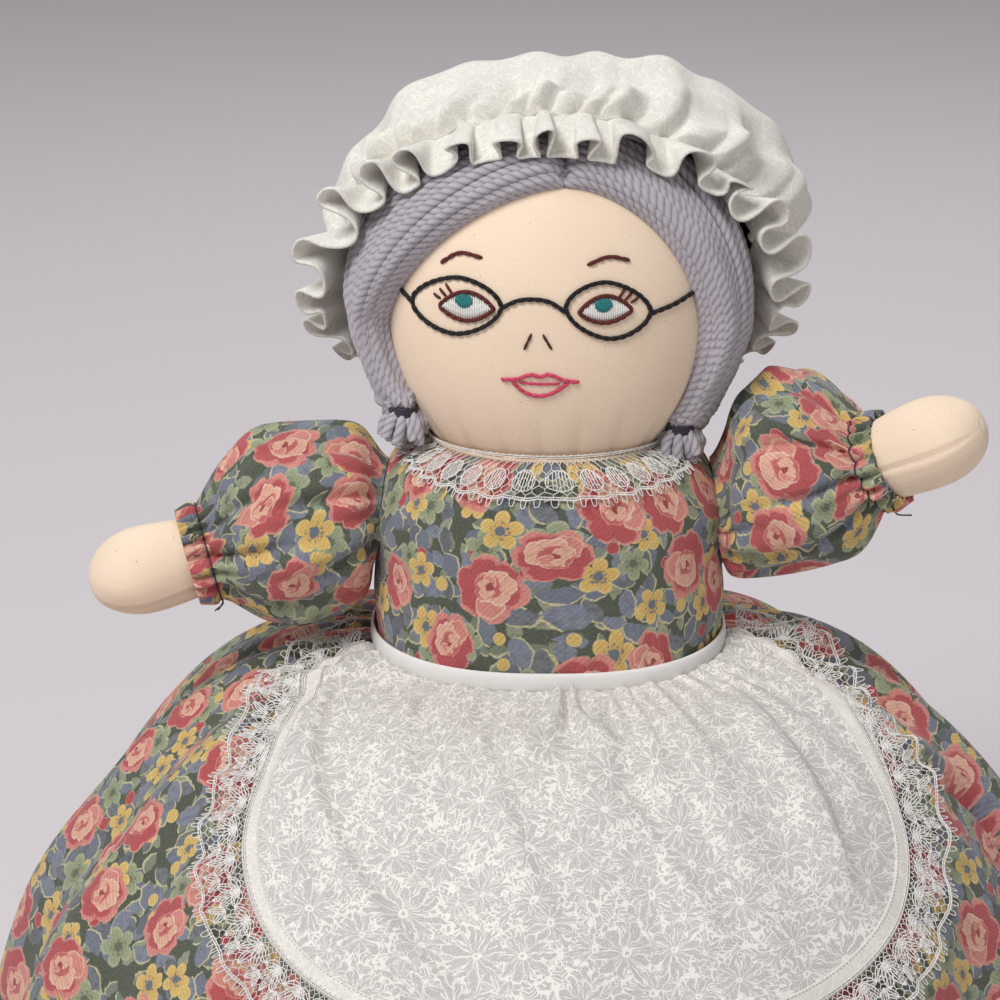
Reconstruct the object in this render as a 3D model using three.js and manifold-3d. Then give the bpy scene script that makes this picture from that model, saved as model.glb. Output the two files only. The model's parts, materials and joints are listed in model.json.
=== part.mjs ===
// Topsy-turvy doll: two stuffed cloth dolls joined at the waist, under one skirt that covers either of them.
// Millimetres, +Z up. The upper doll faces -Y, and the floor is z = 0.
// A height inside a doll is measured away from the shared waist, up for the upper doll and down for the lower one.
// Left and right are as seen from the front.
import * as THREE from "three";
import { mergeVertices } from "three/addons/utils/BufferGeometryUtils.js";
import Module from "manifold-3d";

const wasm = await Module();
wasm.setup();

// Cloth and clearances
const clearance = 0.3; // between pieces that touch
const cloth = 1; // a sewn layer of dress cotton
const skin = 1.2; // muslin skin with its seam allowance
const laceThickness = 0.6;
const elasticThickness = 0.9;

// Head, in height above the waist
const neckHeight = 72;
const headCentre = 118; // height of the widest part
const headHalfWidth = 53;
const headHalfDepth = 39;
const headRise = 54; // from the widest part to the top
const headDrop = 62.7; // half-height of the lower curve, which the neck cuts off

// Yarn hair round the head
const hairSide = 11.5;
const hairBack = 9.5;
const hairTop = 8;
const hairGather = 18; // from the neck up to where the loose hair is gathered
const faceHalfWidth = 49;
const faceHalfHeight = 46;
const faceCentre = 112;
const faceDepth = 5; // the face opening stops this far in front of the middle of the head
const crownFlat = 2; // the resting crown of the lower doll is pressed flat

// Side bunches of yarn and the thread that ties them
const bunchBack = -14;
const bunchNeck = 4.2;
const bunchBulge = 7;
const bunchLength = 17;
const tieHeight = 3;
const tieThickness = 1.2;

// Torso and bodice
const torsoWaistHalfWidth = 55.5;
const torsoWaistHalfDepth = 38;
const torsoChestHalfWidth = 49;
const torsoChestHalfDepth = 35;
const bodiceChestHalfWidth = 57;
const bodiceChestHalfDepth = 40;
const shoulderStart = 46; // height where the shoulder starts to round over
const squareness = 2.5; // power of the rounded-rectangle section
const collarDrop = 14; // height of the lace band below the neck, at the front and back
const collarSideDrop = 7; // over the shoulders
const waistbandWidth = 6.4;
const waistbandThickness = 0.8;

// Arms and sleeves
const shoulderHeight = 46;
const armRootRadius = 13.5;
const wristRadius = 12.6;
const handRadius = 14.6;
const handAt = 72; // from the shoulder pivot to the widest part of the hand
const wristAt = 50;
const armLength = 90;
const armMouth = 9; // the open end of the arm skin, inside the shoulder
const armholeRadius = 15;
const sleeveSeam = 1.5; // seam allowance round the armhole
const upperPuff = 31;
const lowerPuff = 22; // a sleeve under the skirt is pressed flatter
const sleeveFrill = 7;
const frillFlare = 3.5;
const elasticWidth = 4;

// Arm poses in degrees: above the doll's own horizontal, and forward
const upperLeft = { raise: -14, forward: 8 };
const upperRight = { raise: 26, forward: 24 };
const lowerArm = { raise: 55, forward: 0 };

// Mob cap: its elastic lies in a plane that leans back, from the brow to the nape
const capCentreBack = 13;
const capCentreHeight = 125;
const capLean = 64; // degrees from level up to the plane of the elastic
const capDepth = 54;
const capPuff = 0.13; // how far the crown swells past its elastic, as a share of the ring
const capTopShare = 0.85; // the crown is pressed in above the brow, to this share of its width
const capSway = 10; // the crown hangs over to the right
const capNapeLift = 20; // the elastic sits this far back of its plane at the nape
const capElasticWidth = 5;
const frillWidth = 16;
const frillWaves = 20;
const frillWaveHeight = 3.2;

// Skirt and apron
const hemRadius = 180;
const hemWidth = 8;
const skirtFolds = 16;
const hemFold = 6; // half-height of the folds at the hem
const waistFold = 1.2;
const apronLength = 132;
const apronSpread = 60; // degrees from the front to the apron's sides
const apronWaistSpread = 84;
const apronFlare = 57; // length over which the sides run from waist to full width
const apronLace = 17;

// Facets
const roundSteps = 20;
const skirtSteps = 64;
const headRows = 8;

// Sizes that follow from those above
const degrees = Math.PI / 180;
const waistHeight = headCentre + headRise + hairTop - crownFlat;
const hairHem = neckHeight + hairGather;
const neckAngle = Math.asin((headCentre - neckHeight) / headDrop);
const neckHalfWidth = headHalfWidth * Math.cos(neckAngle);
const neckHalfDepth = headHalfDepth * Math.cos(neckAngle);
const bodiceWaistHalfWidth = torsoWaistHalfWidth + clearance + cloth;
const bodiceWaistHalfDepth = torsoWaistHalfDepth + clearance + cloth;
const layer = clearance / 2; // half the gap between the skirt and its lining
const apronTurn = (2 * Math.PI) / skirtSteps; // the apron sits a little to the right, by one facet of the skirt

const materials = {
  muslin: new THREE.MeshStandardMaterial({ color: 0xf0dcc2, roughness: 0.9, metalness: 0 }),
  filling: new THREE.MeshStandardMaterial({ color: 0xf4f2ee, roughness: 1, metalness: 0 }),
  calico: new THREE.MeshStandardMaterial({ color: 0x7c6a62, roughness: 0.88, metalness: 0 }),
  lining: new THREE.MeshStandardMaterial({ color: 0x8f6f7d, roughness: 0.88, metalness: 0 }),
  white: new THREE.MeshStandardMaterial({ color: 0xe9e6e0, roughness: 0.85, metalness: 0 }),
  lace: new THREE.MeshStandardMaterial({ color: 0xebe8e4, roughness: 0.9, metalness: 0 }),
  greyYarn: new THREE.MeshStandardMaterial({ color: 0xa5a0b2, roughness: 0.95, metalness: 0 }),
  brownYarn: new THREE.MeshStandardMaterial({ color: 0x6b4a33, roughness: 0.95, metalness: 0 }),
  thread: new THREE.MeshStandardMaterial({ color: 0x4a4450, roughness: 0.8, metalness: 0 }),
  elastic: new THREE.MeshStandardMaterial({ color: 0xf2f0ea, roughness: 0.9, metalness: 0 }),
};

const doll = new THREE.Group();
doll.name = "topsy_turvy_doll";

function addMesh(name, geometry, material, parent = doll) {
  geometry.computeVertexNormals();
  const mesh = new THREE.Mesh(geometry, material);
  mesh.name = name;
  parent.add(mesh);
  return mesh;
}

// Turns point and triangle lists into a geometry whose faces point out
function closedGeometry(positions, triangles) {
  let volume = 0;
  const corner = [new THREE.Vector3(), new THREE.Vector3(), new THREE.Vector3()];
  for (let i = 0; i < triangles.length; i += 3) {
    corner.forEach((point, k) => point.fromArray(positions, triangles[i + k] * 3));
    volume += corner[0].dot(corner[1].clone().cross(corner[2]));
  }
  if (volume < 0) {
    for (let i = 0; i < triangles.length; i += 3) {
      [triangles[i + 1], triangles[i + 2]] = [triangles[i + 2], triangles[i + 1]];
    }
  }
  const geometry = new THREE.BufferGeometry();
  geometry.setAttribute("position", new THREE.Float32BufferAttribute(positions, 3));
  geometry.setIndex(triangles);
  return geometry;
}

// A layer of cloth between two surfaces, given as functions of two shares from 0 to 1.
// A ring closes on itself across, and a crowned sheet closes to a point at its far end.
function sheet({ columns, rows, ring, crowned, outer, inner }) {
  const positions = [];
  const triangles = [];
  const across = ring ? columns : columns + 1;
  const lines = crowned ? rows : rows + 1;
  const addSurface = (pointAt) => {
    const first = positions.length / 3;
    for (let j = 0; j < lines; j += 1) {
      for (let i = 0; i < across; i += 1) {
        positions.push(...pointAt(i / columns, j / rows));
      }
    }
    if (crowned) {
      positions.push(...pointAt(0, 1));
    }
    return (i, j) => (j === lines ? first + lines * across : first + j * across + (i % across));
  };
  const quad = (a, b, c, d) => triangles.push(a, b, c, a, c, d);
  const out = addSurface(outer);
  const back = addSurface(inner);
  for (let j = 0; j < rows; j += 1) {
    for (let i = 0; i < columns; i += 1) {
      if (crowned && j === rows - 1) {
        triangles.push(out(i, j), out(i + 1, j), out(i, rows));
        triangles.push(back(i + 1, j), back(i, j), back(i, rows));
      } else {
        quad(out(i, j), out(i + 1, j), out(i + 1, j + 1), out(i, j + 1));
        quad(back(i, j), back(i, j + 1), back(i + 1, j + 1), back(i + 1, j));
      }
    }
  }
  for (let i = 0; i < columns; i += 1) {
    quad(out(i + 1, 0), out(i, 0), back(i, 0), back(i + 1, 0));
    if (!crowned) {
      quad(out(i, rows), out(i + 1, rows), back(i + 1, rows), back(i, rows));
    }
  }
  if (!ring) {
    for (let j = 0; j < rows; j += 1) {
      quad(out(0, j), out(0, j + 1), back(0, j + 1), back(0, j));
      quad(out(columns, j + 1), out(columns, j), back(columns, j), back(columns, j + 1));
    }
  }
  return closedGeometry(positions, triangles);
}

// A solid body of stacked rings, closed by a fan at each end
function ringBody(columns, rings) {
  const positions = [];
  const triangles = [];
  const last = rings.length - 1;
  rings.forEach((pointAt) => {
    for (let i = 0; i < columns; i += 1) {
      positions.push(...pointAt(i / columns));
    }
  });
  const at = (i, j) => j * columns + (i % columns);
  for (let j = 0; j < last; j += 1) {
    for (let i = 0; i < columns; i += 1) {
      triangles.push(at(i, j), at(i + 1, j), at(i + 1, j + 1), at(i, j), at(i + 1, j + 1), at(i, j + 1));
    }
  }
  [0, last].forEach((j) => {
    const middle = new THREE.Vector3();
    for (let i = 0; i < columns; i += 1) {
      middle.add(new THREE.Vector3().fromArray(positions, at(i, j) * 3));
    }
    const hub = positions.length / 3;
    positions.push(...middle.divideScalar(columns).toArray());
    for (let i = 0; i < columns; i += 1) {
      const edge = j === 0 ? [at(i + 1, j), at(i, j)] : [at(i, j), at(i + 1, j)];
      triangles.push(...edge, hub);
    }
  });
  return closedGeometry(positions, triangles);
}

// Boolean cuts
function toSolid(geometry) {
  const bare = geometry.clone();
  bare.deleteAttribute("normal");
  bare.deleteAttribute("uv");
  const merged = mergeVertices(bare, 1e-4);
  return new wasm.Manifold(new wasm.Mesh({
    numProp: 3,
    vertProperties: new Float32Array(merged.attributes.position.array),
    triVerts: new Uint32Array(merged.index.array),
  }));
}

function fromSolid(solid) {
  const mesh = solid.getMesh();
  return closedGeometry(Array.from(mesh.vertProperties), Array.from(mesh.triVerts));
}

function cut(geometry, cutters) {
  return fromSolid(cutters.reduce((left, cutter) => left.subtract(toSolid(cutter)), toSolid(geometry)));
}

function keepInside(geometry, limit) {
  return fromSolid(toSolid(geometry).intersect(toSolid(limit)));
}

// Moves a geometry built in doll heights to its place in the frame
function placeGeometry(geometry, place) {
  const from = geometry.attributes.position.array;
  const placed = [];
  for (let i = 0; i < from.length; i += 3) {
    placed.push(...place([from[i], from[i + 1], from[i + 2]]));
  }
  return closedGeometry(placed, Array.from(geometry.index.array));
}

// Points on the doll
const smooth = (x) => {
  const t = THREE.MathUtils.clamp(x, 0, 1);
  return t * t * (3 - 2 * t);
};
const mix = (a, b, t) => a + (b - a) * t;
const power = (value, exponent) => Math.sign(value) * Math.abs(value) ** exponent;

// The upper doll stands on the waist and the lower one hangs from it
const standing = ([x, y, height]) => [x, y, waistHeight + height];
const hanging = ([x, y, height]) => [x, y, waistHeight - height];

function sectionPoint(halfWidth, halfDepth, height, angle, exponent = 2) {
  const x = halfWidth * power(Math.cos(angle), 2 / exponent);
  const y = halfDepth * power(Math.sin(angle), 2 / exponent);
  return [x, y, height];
}

// Half-widths and section power of the torso or bodice: straight to the shoulder, then rounded over to the neck
function bodySection(size, height) {
  const collarHeight = neckHeight - clearance;
  const rounding = THREE.MathUtils.clamp((height - shoulderStart) / (collarHeight - shoulderStart), 0, 1);
  const shoulder = Math.sqrt(1 - rounding * rounding);
  const rise = smooth(height / shoulderStart);
  const width = mix(size.neckWidth, mix(size.waistWidth, size.chestWidth, rise), shoulder);
  const depth = mix(size.neckDepth, mix(size.waistDepth, size.chestDepth, rise), shoulder);
  return [width, depth, mix(2, squareness, shoulder)];
}

const torsoSize = {
  waistWidth: torsoWaistHalfWidth,
  waistDepth: torsoWaistHalfDepth,
  chestWidth: torsoChestHalfWidth,
  chestDepth: torsoChestHalfDepth,
  neckWidth: neckHalfWidth,
  neckDepth: neckHalfDepth,
};
const bodiceSize = {
  waistWidth: bodiceWaistHalfWidth,
  waistDepth: bodiceWaistHalfDepth,
  chestWidth: bodiceChestHalfWidth,
  chestDepth: bodiceChestHalfDepth,
  neckWidth: neckHalfWidth + clearance + cloth,
  neckDepth: neckHalfDepth + clearance + cloth,
};

// grow moves the surface out, or in where it is negative
function bodyPoint(size, height, angle, grow) {
  const [width, depth, exponent] = bodySection(size, height);
  return sectionPoint(width + grow, depth + grow, height, angle, exponent);
}

// Half-width of the bodice at a place on its side
function bodiceSide(y, height) {
  const [width, depth, exponent] = bodySection(bodiceSize, THREE.MathUtils.clamp(height, 0, neckHeight));
  return width * (1 - Math.min(1, Math.abs(y) / depth) ** exponent) ** (1 / exponent);
}

// slope runs from -neckAngle at the neck to a quarter turn at the top of the head
const slopeAt = (v) => mix(-neckAngle, Math.PI / 2, v);

function headPoint(angle, slope, grow) {
  const rise = (slope < 0 ? headDrop : headRise) + grow;
  const ring = Math.cos(slope);
  const height = headCentre + rise * Math.sin(slope);
  return sectionPoint((headHalfWidth + grow) * ring, (headHalfDepth + grow) * ring, height, angle);
}

function hairPoint(angle, slope) {
  const rise = (slope < 0 ? headDrop : headRise) + hairTop;
  const ring = Math.cos(slope);
  const height = headCentre + rise * Math.sin(slope);
  return sectionPoint((headHalfWidth + hairSide) * ring, (headHalfDepth + hairBack) * ring, height, angle);
}

// Over 1 outside the hair
function hairLevel(x, y, height) {
  const rise = (height < headCentre ? headDrop : headRise) + hairTop;
  return (x / (headHalfWidth + hairSide)) ** 2
    + (y / (headHalfDepth + hairBack)) ** 2
    + ((height - headCentre) / rise) ** 2;
}

// Heads, torsos and their filling
function addBody(which, place) {
  const torsoRows = 3;
  const torsoTop = neckHeight - clearance;
  const heightAt = (v) => mix(clearance / 2, torsoTop, 1 - (1 - v) ** 1.6);
  addMesh(`${which}_head_skin`, sheet({
    columns: roundSteps,
    rows: headRows,
    ring: true,
    crowned: true,
    outer: (u, v) => place(headPoint(u * 2 * Math.PI, slopeAt(v), 0)),
    inner: (u, v) => place(headPoint(u * 2 * Math.PI, slopeAt(v), -skin)),
  }), materials.muslin);
  addMesh(`${which}_torso_skin`, sheet({
    columns: roundSteps,
    rows: torsoRows,
    ring: true,
    outer: (u, v) => place(bodyPoint(torsoSize, heightAt(v), u * 2 * Math.PI, 0)),
    inner: (u, v) => place(bodyPoint(torsoSize, heightAt(v), u * 2 * Math.PI, -skin)),
  }), materials.muslin);
  const inside = -skin - clearance;
  const fillingRings = [];
  for (let j = 0; j <= torsoRows; j += 1) {
    const height = heightAt(j / torsoRows);
    fillingRings.push((u) => place(bodyPoint(torsoSize, height, u * 2 * Math.PI, inside)));
  }
  for (let j = 0; j < headRows; j += 1) {
    const slope = slopeAt(j / headRows);
    fillingRings.push((u) => place(headPoint(u * 2 * Math.PI, slope, inside)));
  }
  addMesh(`${which}_filling`, ringBody(roundSteps / 2, fillingRings), materials.filling);
}

// Hair: one skein of yarn over the head, open at the face and gathered at both sides
function extrudedOutline(points, depth) {
  return new THREE.ExtrudeGeometry(new THREE.Shape(points), { depth, bevelEnabled: false });
}

function faceCutter() {
  const roundness = 2.4;
  const steps = 28;
  const outline = [];
  for (let i = 0; i < steps; i += 1) {
    const angle = (i / steps) * 2 * Math.PI;
    const [x, rise] = sectionPoint(faceHalfWidth, faceHalfHeight, 0, angle, roundness);
    outline.push(new THREE.Vector2(x, faceCentre + rise));
  }
  const reach = 2 * headHalfDepth;
  const cutter = extrudedOutline(outline, reach);
  cutter.rotateX(Math.PI / 2);
  cutter.translate(0, -faceDepth, 0);
  return cutter;
}

function boxCutter(lowHeight, highHeight) {
  const size = 4 * headHalfWidth;
  const cutter = new THREE.BoxGeometry(size, size, highHeight - lowHeight);
  cutter.translate(0, 0, (lowHeight + highHeight) / 2);
  return cutter;
}

function addHair(which, place, material, flattened) {
  const nearTop = 0.999;
  const rings = [];
  const innerRings = [];
  for (let j = 0; j <= headRows; j += 1) {
    const slope = slopeAt(j < headRows ? j / headRows : nearTop);
    rings.push((u) => hairPoint(u * 2 * Math.PI, slope));
    innerRings.push((u) => headPoint(u * 2 * Math.PI, slope, clearance));
  }
  const top = headCentre + headRise + hairTop;
  const cutters = [
    ringBody(roundSteps, innerRings),
    faceCutter(),
    boxCutter(neckHeight - 2 * headDrop, hairHem),
    boxCutter(flattened ? top - crownFlat : top, top + headRise),
  ];
  const shape = cut(ringBody(roundSteps, rings), cutters);
  addMesh(`${which}_hair`, placeGeometry(shape, place), material);
}

// Middle of the hair's wall at the gathered hem
function bunchSide() {
  const reach = (halfWidth, halfDepth, drop) => {
    const ring = Math.sqrt(1 - ((headCentre - hairHem) / drop) ** 2);
    return halfWidth * ring * Math.sqrt(1 - (bunchBack / (halfDepth * ring)) ** 2);
  };
  const inner = reach(headHalfWidth, headHalfDepth, headDrop);
  const outer = reach(headHalfWidth + hairSide, headHalfDepth + hairBack, headDrop + hairTop);
  return (inner + outer) / 2;
}

function addBunch(which, place, side, word, material) {
  const columns = 10;
  const x = side * bunchSide();
  const top = hairHem - clearance;
  const ringAt = (drop, radius) => (u) => place([
    x + radius * Math.cos(u * 2 * Math.PI),
    bunchBack + radius * Math.sin(u * 2 * Math.PI),
    top - drop,
  ]);
  const tieDrop = bunchLength * 0.2;
  const rings = [
    ringAt(0, bunchNeck * 1.25),
    ringAt(tieDrop, bunchNeck),
    ringAt(tieDrop + tieHeight, bunchNeck),
    ringAt(bunchLength * 0.62, bunchBulge),
    ringAt(bunchLength * 0.85, bunchBulge * 0.85),
    ringAt(bunchLength, bunchBulge * 0.4),
  ];
  addMesh(`${which}_bunch_${word}`, ringBody(columns, rings), material);
  const tieInner = bunchNeck + clearance;
  const tieRing = (radius) => (u, v) => ringAt(tieDrop + v * tieHeight, radius)(u);
  addMesh(`${which}_hair_tie_${word}`, sheet({
    columns,
    rows: 1,
    ring: true,
    outer: tieRing(tieInner + tieThickness),
    inner: tieRing(tieInner),
  }), materials.thread);
}

// Bodice halves, front and back, with round armholes at the side seams
function armholeCutter() {
  const cutter = new THREE.CylinderGeometry(armholeRadius, armholeRadius, 4 * bodiceChestHalfWidth, 20);
  cutter.rotateZ(Math.PI / 2);
  cutter.translate(0, 0, shoulderHeight);
  return cutter;
}

// The bodice is faceted in rows, and what lies on it follows the same facets
const bodiceRows = 6;
const bodiceHeights = [];
for (let j = 0; j <= bodiceRows; j += 1) {
  const share = 1 - (1 - j / bodiceRows) ** 1.8;
  bodiceHeights.push(mix(clearance / 2, neckHeight - clearance, share));
}

function onBodice(height, angle, grow) {
  const above = bodiceHeights.findIndex((row, j) => j > 0 && row >= height - 1e-6);
  const low = bodiceHeights[above - 1];
  const high = bodiceHeights[above];
  const share = (height - low) / (high - low);
  const from = bodyPoint(bodiceSize, low, angle, grow);
  const to = bodyPoint(bodiceSize, high, angle, grow);
  return from.map((value, axis) => mix(value, to[axis], share));
}

function addBodice(which, place, material) {
  const columns = roundSteps / 2;
  const seam = (clearance / 2 / bodiceChestHalfDepth) ** (squareness / 2);
  const halves = { front: Math.PI, back: 0 };
  Object.entries(halves).forEach(([word, start]) => {
    const angleAt = (u) => start + mix(seam, Math.PI - seam, u);
    const heightAt = (v) => bodiceHeights[Math.round(v * bodiceRows)];
    const surface = (grow) => (u, v) => bodyPoint(bodiceSize, heightAt(v), angleAt(u), grow);
    const half = sheet({ columns, rows: bodiceRows, ring: false, outer: surface(0), inner: surface(-cloth) });
    const shape = cut(half, [armholeCutter()]);
    addMesh(`${which}_bodice_${word}`, placeGeometry(shape, place), material);
  });
}

function addCollar(which, place) {
  const rowHeights = bodiceHeights.filter((row) => row > neckHeight - collarDrop + clearance);
  const rows = rowHeights.length;
  const heightAt = (angle, row) => {
    const start = neckHeight - mix(collarSideDrop, collarDrop, Math.sin(angle) ** 2);
    const step = clearance / 2;
    return row === 0 ? start : Math.max(start + row * step, rowHeights[row - 1]);
  };
  const surface = (grow) => (u, v) => {
    const angle = u * 2 * Math.PI;
    return place(onBodice(heightAt(angle, Math.round(v * rows)), angle, grow));
  };
  addMesh(`${which}_collar_lace`, sheet({
    columns: roundSteps,
    rows,
    ring: true,
    outer: surface(clearance + laceThickness),
    inner: surface(clearance),
  }), materials.lace);
}

// Arms: a stuffed skin with a round root at the shoulder and a mitten end
function armRadius(along) {
  if (along < 0) {
    return Math.sqrt(Math.max(0, armRootRadius ** 2 - along ** 2));
  }
  if (along < wristAt) {
    return mix(armRootRadius, wristRadius, smooth(along / wristAt));
  }
  if (along < handAt) {
    return mix(wristRadius, handRadius, smooth((along - wristAt) / (handAt - wristAt)));
  }
  const share = (along - handAt) / (armLength - handAt);
  return handRadius * Math.sqrt(Math.max(0, 1 - share * share));
}

function armStations(steps) {
  const stations = [];
  const bodyStep = (wristAt + armMouth) / steps;
  for (let i = 0; i < steps; i += 1) {
    stations.push(-armMouth + i * bodyStep);
  }
  stations.push(wristAt, (wristAt + handAt) / 2);
  const endSteps = 3;
  for (let i = 0; i <= endSteps; i += 1) {
    stations.push(handAt + (armLength - handAt) * Math.sin((i / endSteps) * (Math.PI / 2)));
  }
  return stations;
}

function addArm(which, place, side, word, pose, puff, fabric) {
  const columns = 12;
  const torsoSide = bodySection(torsoSize, shoulderHeight)[0];
  const pivot = new THREE.Vector3(side * (torsoSide + clearance + armRootRadius), 0, shoulderHeight);
  const level = Math.cos(pose.raise * degrees);
  const direction = new THREE.Vector3(
    side * level * Math.cos(pose.forward * degrees),
    -level * Math.sin(pose.forward * degrees),
    Math.sin(pose.raise * degrees),
  );
  const placedPivot = new THREE.Vector3().fromArray(place(pivot.toArray()));
  const along = pivot.clone().add(direction);
  const placedDirection = new THREE.Vector3().fromArray(place(along.toArray())).sub(placedPivot);

  // The arm is built along +Z and turned to its pose
  const arm = new THREE.Group();
  arm.position.copy(placedPivot);
  arm.quaternion.setFromUnitVectors(new THREE.Vector3(0, 0, 1), placedDirection);
  doll.add(arm);
  const stations = armStations(3);
  const last = stations.length - 1;
  const armPoint = (u, v, grow) => {
    const station = stations[Math.round(v * last)];
    const end = station + (v === 1 ? grow : 0);
    const radius = Math.max(0, v === 1 ? 0 : armRadius(station) + grow);
    return [radius * Math.cos(u * 2 * Math.PI), radius * Math.sin(u * 2 * Math.PI), end];
  };
  addMesh(`${which}_arm_skin_${word}`, sheet({
    columns,
    rows: last,
    ring: true,
    crowned: true,
    outer: (u, v) => armPoint(u, v, 0),
    inner: (u, v) => armPoint(u, v, -skin),
  }), materials.muslin, arm);
  const inside = -skin - clearance;
  const fillingRings = [];
  for (let j = 0; j < last; j += 1) {
    fillingRings.push((u) => armPoint(u, j / last, inside));
  }
  addMesh(`${which}_arm_filling_${word}`, ringBody(columns / 2, fillingRings), materials.filling, arm);

  const elasticInner = wristRadius + clearance;
  const elasticRing = (radius) => (u, v) => [
    radius * Math.cos(u * 2 * Math.PI),
    radius * Math.sin(u * 2 * Math.PI),
    wristAt + (v - 0.5) * elasticWidth,
  ];
  addMesh(`${which}_wrist_elastic_${word}`, sheet({
    columns,
    rows: 1,
    ring: true,
    outer: elasticRing(elasticInner + elasticThickness),
    inner: elasticRing(elasticInner),
  }), materials.elastic, arm);

  // The sleeve runs from a seam on the bodice, swells, and gathers at the wrist into a small frill
  const sleeveColumns = columns + 2;
  const flats = Math.cos(Math.PI / sleeveColumns);
  const gather = (elasticInner + elasticThickness + clearance) / flats + cloth;
  const seamRadius = armholeRadius + sleeveSeam + cloth;
  const wristShare = wristAt / (wristAt + sleeveFrill);
  const elasticShare = elasticWidth / 2 / (wristAt + sleeveFrill);
  const swell = new THREE.SplineCurve([
    new THREE.Vector2(0, seamRadius),
    new THREE.Vector2(0.16, puff * 0.84),
    new THREE.Vector2(0.4, puff),
    new THREE.Vector2(0.64, puff * 0.9),
    new THREE.Vector2(wristShare - elasticShare, gather),
  ]);
  const stops = [
    ...swell.getPoints(6),
    new THREE.Vector2(wristShare + elasticShare, gather),
    new THREE.Vector2(1, gather + frillFlare),
  ];
  const sleeveRows = stops.length - 1;
  const outward = new THREE.Vector3(side, 0, 0);
  const seamCentre = new THREE.Vector3(side * (bodiceSide(0, shoulderHeight) + clearance), 0, shoulderHeight);
  const sleevePoint = (u, v, grow) => {
    const turn = u * 2 * Math.PI;
    if (v === 0) {
      const y = (seamRadius + grow) * Math.cos(turn);
      const height = shoulderHeight + (seamRadius + grow) * Math.sin(turn);
      return place([side * (bodiceSide(y, height) + clearance), y, height]);
    }
    const spot = stops[Math.round(v * sleeveRows)];
    const normal = outward.clone().lerp(direction, smooth(spot.x / 0.5)).normalize();
    const onArm = pivot.clone().addScaledVector(direction, spot.x * (wristAt + sleeveFrill));
    const centre = seamCentre.clone().lerp(onArm, smooth(spot.x / 0.4));
    const across = new THREE.Vector3(0, 1, 0).addScaledVector(normal, -normal.y).normalize();
    const upward = normal.clone().cross(across).multiplyScalar(side);
    const radius = spot.y + grow;
    centre.addScaledVector(across, radius * Math.cos(turn)).addScaledVector(upward, radius * Math.sin(turn));
    return place(centre.toArray());
  };
  addMesh(`${which}_sleeve_${word}`, sheet({
    columns: sleeveColumns,
    rows: sleeveRows,
    ring: true,
    outer: (u, v) => sleevePoint(u, v, 0),
    inner: (u, v) => sleevePoint(u, v, -cloth),
  }), fabric);
}

// Mob cap: an elastic round the hair, a swelling crown behind it and a waved frill before it
const capUp = new THREE.Vector3(0, -Math.cos(capLean * degrees), Math.sin(capLean * degrees));
const capBack = new THREE.Vector3(0, Math.sin(capLean * degrees), Math.cos(capLean * degrees));
const capCentre = new THREE.Vector3(0, capCentreBack, capCentreHeight);

const napeLift = (angle) => capNapeLift * Math.max(0, -Math.sin(angle)) ** 2;
const capRay = (angle) => new THREE.Vector3(Math.cos(angle), 0, 0).addScaledVector(capUp, Math.sin(angle));

// Distance from the cap's axis to the hair, in a plane some way behind that of the elastic
function hairReach(angle, behind) {
  const ray = capRay(angle);
  const start = capCentre.clone().addScaledVector(capBack, napeLift(angle) + behind);
  let low = 0;
  let high = 3 * headHalfWidth;
  for (let i = 0; i < 40; i += 1) {
    const middle = (low + high) / 2;
    const point = start.clone().addScaledVector(ray, middle);
    if (hairLevel(point.x, point.y, point.z) > 1) {
      high = middle;
    } else {
      low = middle;
    }
  }
  return high;
}

function capPoint(angle, distance, behind, liftShare = 1, sway = 0) {
  const back = behind + liftShare * napeLift(angle);
  const point = capCentre.clone().addScaledVector(capRay(angle), distance).addScaledVector(capBack, back);
  return standing([point.x + sway, point.y, point.z]);
}

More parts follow.
